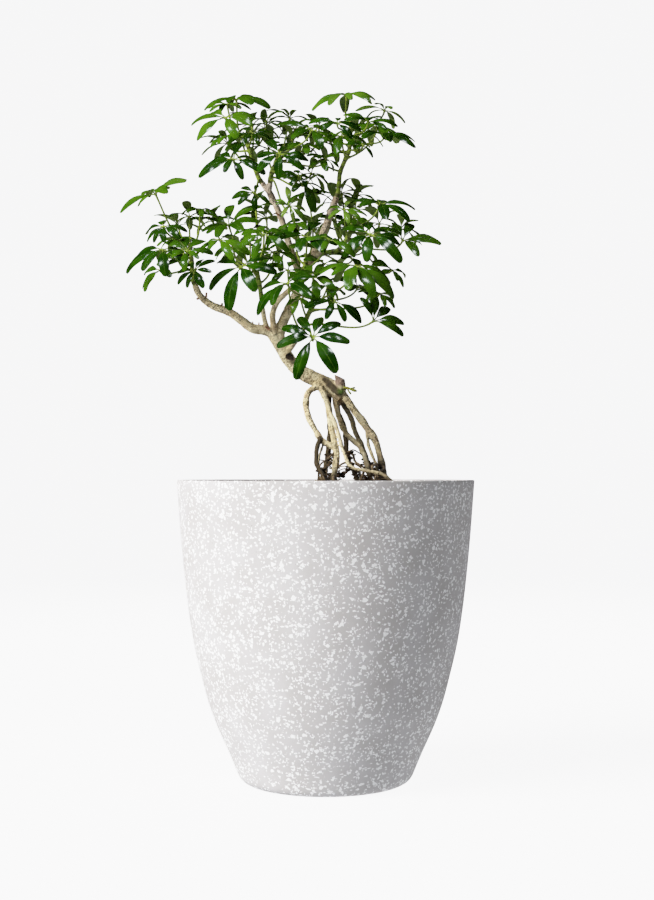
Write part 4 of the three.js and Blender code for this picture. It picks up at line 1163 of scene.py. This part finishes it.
# The scales that close a shoot's tip: how each is turned, and their half width, thickness and length.
TIP_SCALES = (0.4, 2.5, 4.4)
TIP_SCALE_FORM = (1.3, 0.9, 4.4, 1)
STEM_GREEN = [(0.090, 0.150, 0.010, 1), (0.230, 0.300, 0.036, 1)]
STEM_BROWN = [(0.0715, 0.0495, 0.022, 1), (0.165, 0.121, 0.066, 1)]
STEM_SCAR = (0.04125, 0.033, 0.0121, 1)
STEM_SPECK = (0.033, 0.022, 0.011, 1)
LEAF_SEED = 23

stalk_skin = Finish("green_stem")
ripe, scar = stalk_skin.mark("ripe"), stalk_skin.mark("scar")
patches = stalk_skin.cloud(150, 4, 0.6)
brown = stalk_skin.shaded(patches, 0.3, 0.7, STEM_BROWN)
specks = stalk_skin.node("TexVoronoi", {}, {"Vector": stalk_skin.where, "Scale": 620})
stalk_skin.finish({
    "Base Color": stalk_skin.layered(
        stalk_skin.shaded(patches, 0.3, 0.7, STEM_GREEN),
        (stalk_skin.graded(ripe + patches * 0.5, 0.45, 0.95), brown),
        (stalk_skin.graded(scar + patches * 0.4, 0.6, 1.0) * 0.8, STEM_SCAR),
        ((specks < 0.16) * ripe * 0.7, STEM_SPECK)),
    "Roughness": 0.42 + ripe * 0.3,
    "Normal": stalk_skin.relief(patches, 0.0005),
})

leaf_seed = random.Random(LEAF_SEED)
blades = {}
for name, (_, _, leaves) in SHOOTS.items():
    leaves = leaves + INNER_LEAVES.get(name, [])
    shape = bmesh.new()
    ripe_layer = shape.verts.layers.float.new("ripe")
    scar_layer = shape.verts.layers.float.new("scar")
    places = shoot_line(name)
    fine = np.linspace(0, 1, 60)
    line, length = spaced_curve(places, fine)
    springs = [FIRST_SPRING + (LAST_SPRING - FIRST_SPRING) * leaf[0] for leaf in leaves]
    # The shoot swells where its stalks spring and narrows at its tip, and its foot reaches into its branch.
    radii = STEM_DIAMETER / 2 * (1 + (STEM_TAPER - 1) * fine)
    knots = sum(np.exp(-((fine - share) * length / KNOT_LENGTH) ** 2) for share in springs)
    radii = radii * (0.93 + KNOT_SWELL * np.minimum(knots, 1.4)) * np.where(fine > 0.985, 0.7, 1)
    made = sweep(shape, [line[0] - (line[1] - line[0]) * 3] + list(line), [radii[0] * 0.9] + list(radii), 12)
    # Its skin is brown and ripe at its foot only, and is ringed by leaf scars.
    for corner in made:
        share = (Vector(corner.co) / MM - Vector(line[0])).length / length
        corner[ripe_layer] = max(0, 0.5 - 3 * share)
        corner[scar_layer] = hump(share * length / SCAR_SPACING % 1 - 0.5, SHOOT_SCAR_WIDTH)
    # Light green scales close the shoot's growing tip.
    onwards = unit(line[-1] - line[-3])
    for turn in TIP_SCALES:
        lean = Vector(unit(onwards * 1.6 + np.array((math.cos(turn), math.sin(turn), 0.3))))
        scale_leaf = bmesh.ops.create_icosphere(shape, subdivisions=2, radius=MM)["verts"]
        stretch = lean.to_track_quat("Z", "Y").to_matrix().to_4x4() @ Matrix.Diagonal(TIP_SCALE_FORM)
        start = Vector(line[-1]) + lean * 2.2
        bmesh.ops.transform(shape, verts=scale_leaf, matrix=Matrix.Translation(start * MM) @ stretch)
    blades[name] = []
    for (_, hub, longest, count, tips), share in zip(leaves, springs):
        spring = spaced_curve(places, [share])[0][0]
        hub = place(*hub)
        facing, stands = leaf_stand(spring, hub, longest, count, tips)
        form = np.linspace(0, 1, STALK_POINTS)
        thick = STALK_DIAMETER / 2 * (1 + (STALK_TAPER - 1) * form)
        thick = STALK_THICKER * thick * np.interp(form, *zip(*STALK_FORM))
        sweep(shape, stalk_line(spring, hub, facing, STALK_POINTS), thick, 7)
        knob = bmesh.ops.create_icosphere(shape, subdivisions=2, radius=HUB_RADIUS * MM)["verts"]
        bmesh.ops.translate(shape, verts=knob, vec=Vector(hub) * MM)
        for stand in stands:
            ends = [blade_centre(stand, part) for part in np.linspace(0.0, PETIOLULE_ENDS, 4)]
            sweep(shape, ends, PETIOLULE_RADII, 5)
        blades[name].append((stands, leaf_seed.random()))
    bmesh.ops.recalc_face_normals(shape, faces=shape.faces)
    piece("stems_" + name, shape, [stalk_skin], ["leafy_stem_" + name], crisp=70)


# ---- Leaflets ----
# Leathery oval blades with blunt ends, folded a little along the midrib and arched down at the tip. Their
# tops are dark and glossy, the youngest ones a brighter green, and their undersides are pale and matt, with
# the light that shines through the leaf painted on them as a brighter colour.
BLADE_THICKNESS = 0.55
BLADE_ROWS = 9
BLADE_COLUMNS = 4
BLADE_START = 0.13
BLADE_END = 0.993
BLADE_CREASE = 0.24
BLADE_DROOP = 0.36
# Rows of a blade's grid stand closer towards its tip, and young blades are narrower.
ROW_CROWDING = 1.55
YOUNG_NARROWS = 0.28
# A blade's outline: how far its widest place is shifted to its tip, how blunt it is at its foot, and how much
# blunter at its tip.
WIDEST_SHIFT = 1.12
FOOT_BLUNT, TIP_BLUNTER = 0.92, 0.56
VEINS = 11
VEIN_SLANT = 9
BLADE_SEED = 31
# How young single leaves are: 0 is old and dark, 0.5 a fresh green, 1 the pale yellow green of a new leaf.
YOUNG_LEAVES = {("top_left", 1): 0.5, ("top_left", 0): 0.3, ("top_middle", 7): 0.85, ("top_right", 0): 0.55,
                ("top_right", 2): 0.9, ("left", 0): 0.5, ("centre_left", 3): 0.5, ("right", 3): 0.7,
                ("front_low", 3): 0, ("centre_left", 0): 0, ("front_low", 0): 0.3, ("front_low", 6): 0.05}
# The other outer leaves are up to this young, and inner ones from the first of these on, by the second.
OUTER_YOUTH = 0.34
INNER_YOUTH = (0.25, 0.3)
OLD_LEAF = [(0.0010, 0.0115, 0.0001, 1), (0.0105, 0.045, 0.0004, 1)]
FRESH_LEAF = [(0.0215, 0.073, 0.0012, 1), (0.0440, 0.113, 0.0026, 1)]
NEW_LEAF = [(0.075, 0.15, 0.013, 1), (0.12, 0.195, 0.0275, 1)]
VEIN_GREEN = (0.025, 0.08, 0.005, 1)
RIB_GREEN = (0.07, 0.135, 0.0125, 1)
# The pale underside, painted brighter still for the light that shines through the leaf.
UNDERSIDE_WITH_PAINTED_GLOW = [(0.085, 0.155, 0.012, 1), (0.155, 0.240, 0.028, 1)]
UNDERSIDE_VEIN = (0.14, 0.21, 0.055, 1)
UNDERSIDE_RIB = (0.185, 0.245, 0.06, 1)


def blade_width(share):
    """The half width of a blade against its widest, from its foot at 0 to its tip at 1."""
    return max(0.0, math.sin(math.pi * share ** WIDEST_SHIFT)) ** (FOOT_BLUNT - TIP_BLUNTER * share)


def blade(shape, stand, tone, draw):
    """Lays one blade along its leaflet's line, on a grid that is drawn to its outline."""
    grid = bmesh.ops.create_grid(shape, x_segments=BLADE_COLUMNS, y_segments=BLADE_ROWS, size=1,
                                 calc_uvs=True)["verts"]
    tone_layer = shape.verts.layers.float["tone"]
    widest = BLADE_WIDTH_SHARE / 2 * stand["reach"] * draw.uniform(0.92, 1.10)
    widest *= 1 - YOUNG_NARROWS * max(0, tone - 0.3)
    crease, droop = BLADE_CREASE * draw.uniform(0.5, 1.3), BLADE_DROOP * draw.uniform(0.6, 1.2)
    wave, waves, start = draw.uniform(0.1, 0.9), draw.uniform(1.6, 2.8), draw.uniform(0, math.tau)
    for corner in grid:
        across, part = corner.co.x, (corner.co.y + 1) / 2
        part = 1 - (1 - part) ** ROW_CROWDING
        half = widest * blade_width(min(1, part))
        lifted = (crease * abs(across) - droop * across ** 2) * half
        lifted += wave * across * abs(across) * math.sin(start + waves * 3 * part)
        centre = blade_centre(stand, BLADE_START + (BLADE_END - BLADE_START) * part)
        corner.co = Vector(centre + stand["side"] * across * half + stand["top"] * lifted) * MM
        corner[tone_layer] = tone


def pattern(finish, rib_edges, vein_edge):
    """A blade's midrib and its slanting veins, as levels."""
    spread = finish.node("UVMap", {"uv_map": "blade"}, {})
    across, along = (finish.node("SeparateXYZ", {}, {"Vector": spread}, axis) for axis in (0, 1))
    from_rib = abs(across - 0.5)
    slant = along * VEINS - from_rib * VEIN_SLANT
    vein = finish.graded(abs(slant.worked("FRACT", slant) - 0.5), vein_edge, 0.0)
    return finish.graded(from_rib, *rib_edges), vein


leaf_top = Finish("leaf_top")
rib, vein = pattern(leaf_top, (0.032, 0.012), 0.07)
tone = leaf_top.mark("tone")
blotches = leaf_top.graded(leaf_top.cloud(55, 3, 0.6), 0.3, 0.7)
old, fresh, new = (leaf_top.between(blotches, *greens) for greens in (OLD_LEAF, FRESH_LEAF, NEW_LEAF))
leaf_top.finish({
    "Base Color": leaf_top.layered(
        old, (leaf_top.graded(tone, 0.0, 0.5), fresh), (leaf_top.graded(tone, 0.5, 1.0), new),
        (vein * 0.1 * (0.35 - tone * 0.25), VEIN_GREEN), (rib * 0.35, RIB_GREEN)),
    "Roughness": 0.13 + leaf_top.cloud(260, 3, 0.6) * 0.05,
    "Specular IOR Level": 0.38,
    "Normal": leaf_top.relief(leaf_top.cloud(42, 1) - rib * 0.12, 0.0011),
})

leaf_under = Finish("leaf_underside")
rib, vein = pattern(leaf_under, (0.05, 0.018), 0.10)
patches = leaf_under.cloud(60, 3, 0.6)
leaf_under.finish({
    # The pale underside colour also holds painted light that shines through the leaf.
    "Base Color": leaf_under.layered(leaf_under.shaded(patches, 0.3, 0.7, UNDERSIDE_WITH_PAINTED_GLOW),
                                     (vein * 0.14, UNDERSIDE_VEIN), (rib * 0.8, UNDERSIDE_RIB)),
    "Roughness": 0.6,
    "Specular IOR Level": 0.25,
    "Normal": leaf_under.relief(vein * 0.03 + rib * 0.5 + patches * 0.3, 0.0006),
})

draw = random.Random(BLADE_SEED)
for name, leaves in blades.items():
    shape = bmesh.new()
    shape.loops.layers.uv.new("blade")
    shape.verts.layers.float.new("tone")
    for number, (stands, lot) in enumerate(leaves):
        inner = number >= len(SHOOTS[name][2])
        usual = INNER_YOUTH[0] + INNER_YOUTH[1] * lot if inner else OUTER_YOUTH * lot ** 2
        tone = YOUNG_LEAVES.get((name, number), usual)
        for stand in stands:
            blade(shape, stand, min(1, tone * draw.uniform(0.7, 1.2) + 0.05 * draw.random()), draw)
    bmesh.ops.remove_doubles(shape, verts=shape.verts, dist=2e-6)
    shape = modified(shape, "SOLIDIFY", {"thickness": BLADE_THICKNESS * MM, "offset": -1,
                                         "material_offset": 1, "material_offset_rim": 1},
                     [leaf_top.material, leaf_under.material])
    piece("leaves_" + name, shape, [leaf_top, leaf_under], ["leafy_stem_" + name], crisp=55)


# ---- Floor and light ----
# A wide pale floor that glows a little, as a lit studio table does, and fades into a plain pale background.
# Broad soft daylight comes from the left, with two small lights that only glint on the leaves, a weak light
# from behind on the right and a glow from all round.
FLOOR_RADIUS = 7
FLOOR_GREY = [(0.165, 0.165, 0.165, 1), (0.175, 0.175, 0.175, 1)]
# The floor fades out between these distances from the pot.
FLOOR_FADE = (1.2, 3.2)
floor_finish = Finish("studio_floor")
away = floor_finish.node("VectorMath", {"operation": "LENGTH"}, {0: floor_finish.where}, "Value")
floor_finish.finish({
    "Base Color": floor_finish.between(floor_finish.cloud(3, 2), *FLOOR_GREY),
    "Roughness": 0.9,
    "Alpha": floor_finish.graded(away, *FLOOR_FADE, 1.0, 0.0),
    "Specular IOR Level": 0.0,
    "Emission Color": (0.93, 0.93, 0.935, 1),
    "Emission Strength": 2.75,
})
shape = bmesh.new()
bmesh.ops.create_circle(shape, cap_ends=True, segments=96, radius=FLOOR_RADIUS)
mesh = bpy.data.meshes.new("studio_floor")
shape.to_mesh(mesh)
shape.free()
mesh.materials.append(floor_finish.material)
floor = bpy.data.objects.new("studio_floor", mesh)
bpy.context.scene.collection.objects.link(floor)
floor.visible_diffuse = False
floor.visible_glossy = False


def far_light(name, left, height, spread, power, colour):
    """Light from far away, from so many degrees left of the front and above the floor."""
    light = bpy.data.lights.new(name, "SUN")
    light.angle = math.radians(spread)
    light.energy = power
    light.color = colour
    lamp = bpy.data.objects.new(name, light)
    left, height = math.radians(left), math.radians(height)
    towards = Vector((-math.sin(left) * math.cos(height), -math.cos(left) * math.cos(height),
                      math.sin(height)))
    lamp.rotation_euler = towards.to_track_quat("Z", "Y").to_euler()
    bpy.context.scene.collection.objects.link(lamp)
    return lamp


far_light("daylight", 62, 30, 38, 12.9, (1.0, 0.985, 0.955)).visible_glossy = False
for name, left, height in (("glint_left", 38, 52), ("glint_right", -28, 60)):
    far_light(name, left, height, 13, 1.7, (0.90, 0.96, 1.0)).visible_diffuse = False
far_light("back_glow", -110, 25, 30, 0.5, (1.0, 1.0, 1.0)).visible_glossy = False

# The glow from all round is stronger from below, and the lens sees a plain background instead of it.
world = bpy.data.worlds.new("studio")
world.use_nodes = True
world.cycles_visibility.glossy = False
bpy.context.scene.world = world
sky = world.node_tree


def sky_node(kind, sockets, output=0):
    """One output of a new node of the world."""
    made = sky.nodes.new("ShaderNode" + kind)
    for name, value in sockets.items():
        feed(made.inputs[name], value)
    return Level(made.outputs[output])


height = sky_node("SeparateXYZ", {0: sky_node("TexCoord", {}, "Generated")}, "Z")
glow = sky.nodes["Background"]
feed(glow.inputs["Color"], (0.97, 0.985, 1.0, 1))
feed(glow.inputs["Strength"], sky_node("MapRange", {"Value": height, "From Min": -0.9, "From Max": -0.2,
                                                    "To Min": 2.9, "To Max": 0.08}))
plain = sky_node("Background", {"Color": (0.99, 0.99, 1.0, 1), "Strength": 2.58})
seen = sky_node("LightPath", {}, "Is Camera Ray")
choice = sky_node("MixShader", {0: seen, 1: Level(glow.outputs[0]), 2: plain})
feed(sky.nodes["World Output"].inputs["Surface"], choice)

# The tones run out softly towards white, as they do in a photograph.
TONE_RANGE = 5.0
TONE_STEPS = (0.01, 0.03, 0.06, 0.10, 0.15, 0.21, 0.28, 0.37, 0.48, 0.62, 0.80)
view = bpy.context.scene.view_settings
view.view_transform = "Standard"
view.use_curve_mapping = True
view.curve_mapping.white_level = (TONE_RANGE, TONE_RANGE, TONE_RANGE)
tones = view.curve_mapping.curves[3]
tones.points[1].location = (1, 1 - math.exp(-TONE_RANGE))
for step in TONE_STEPS:
    tones.points.new(step, 1 - math.exp(-TONE_RANGE * step))
view.curve_mapping.update()
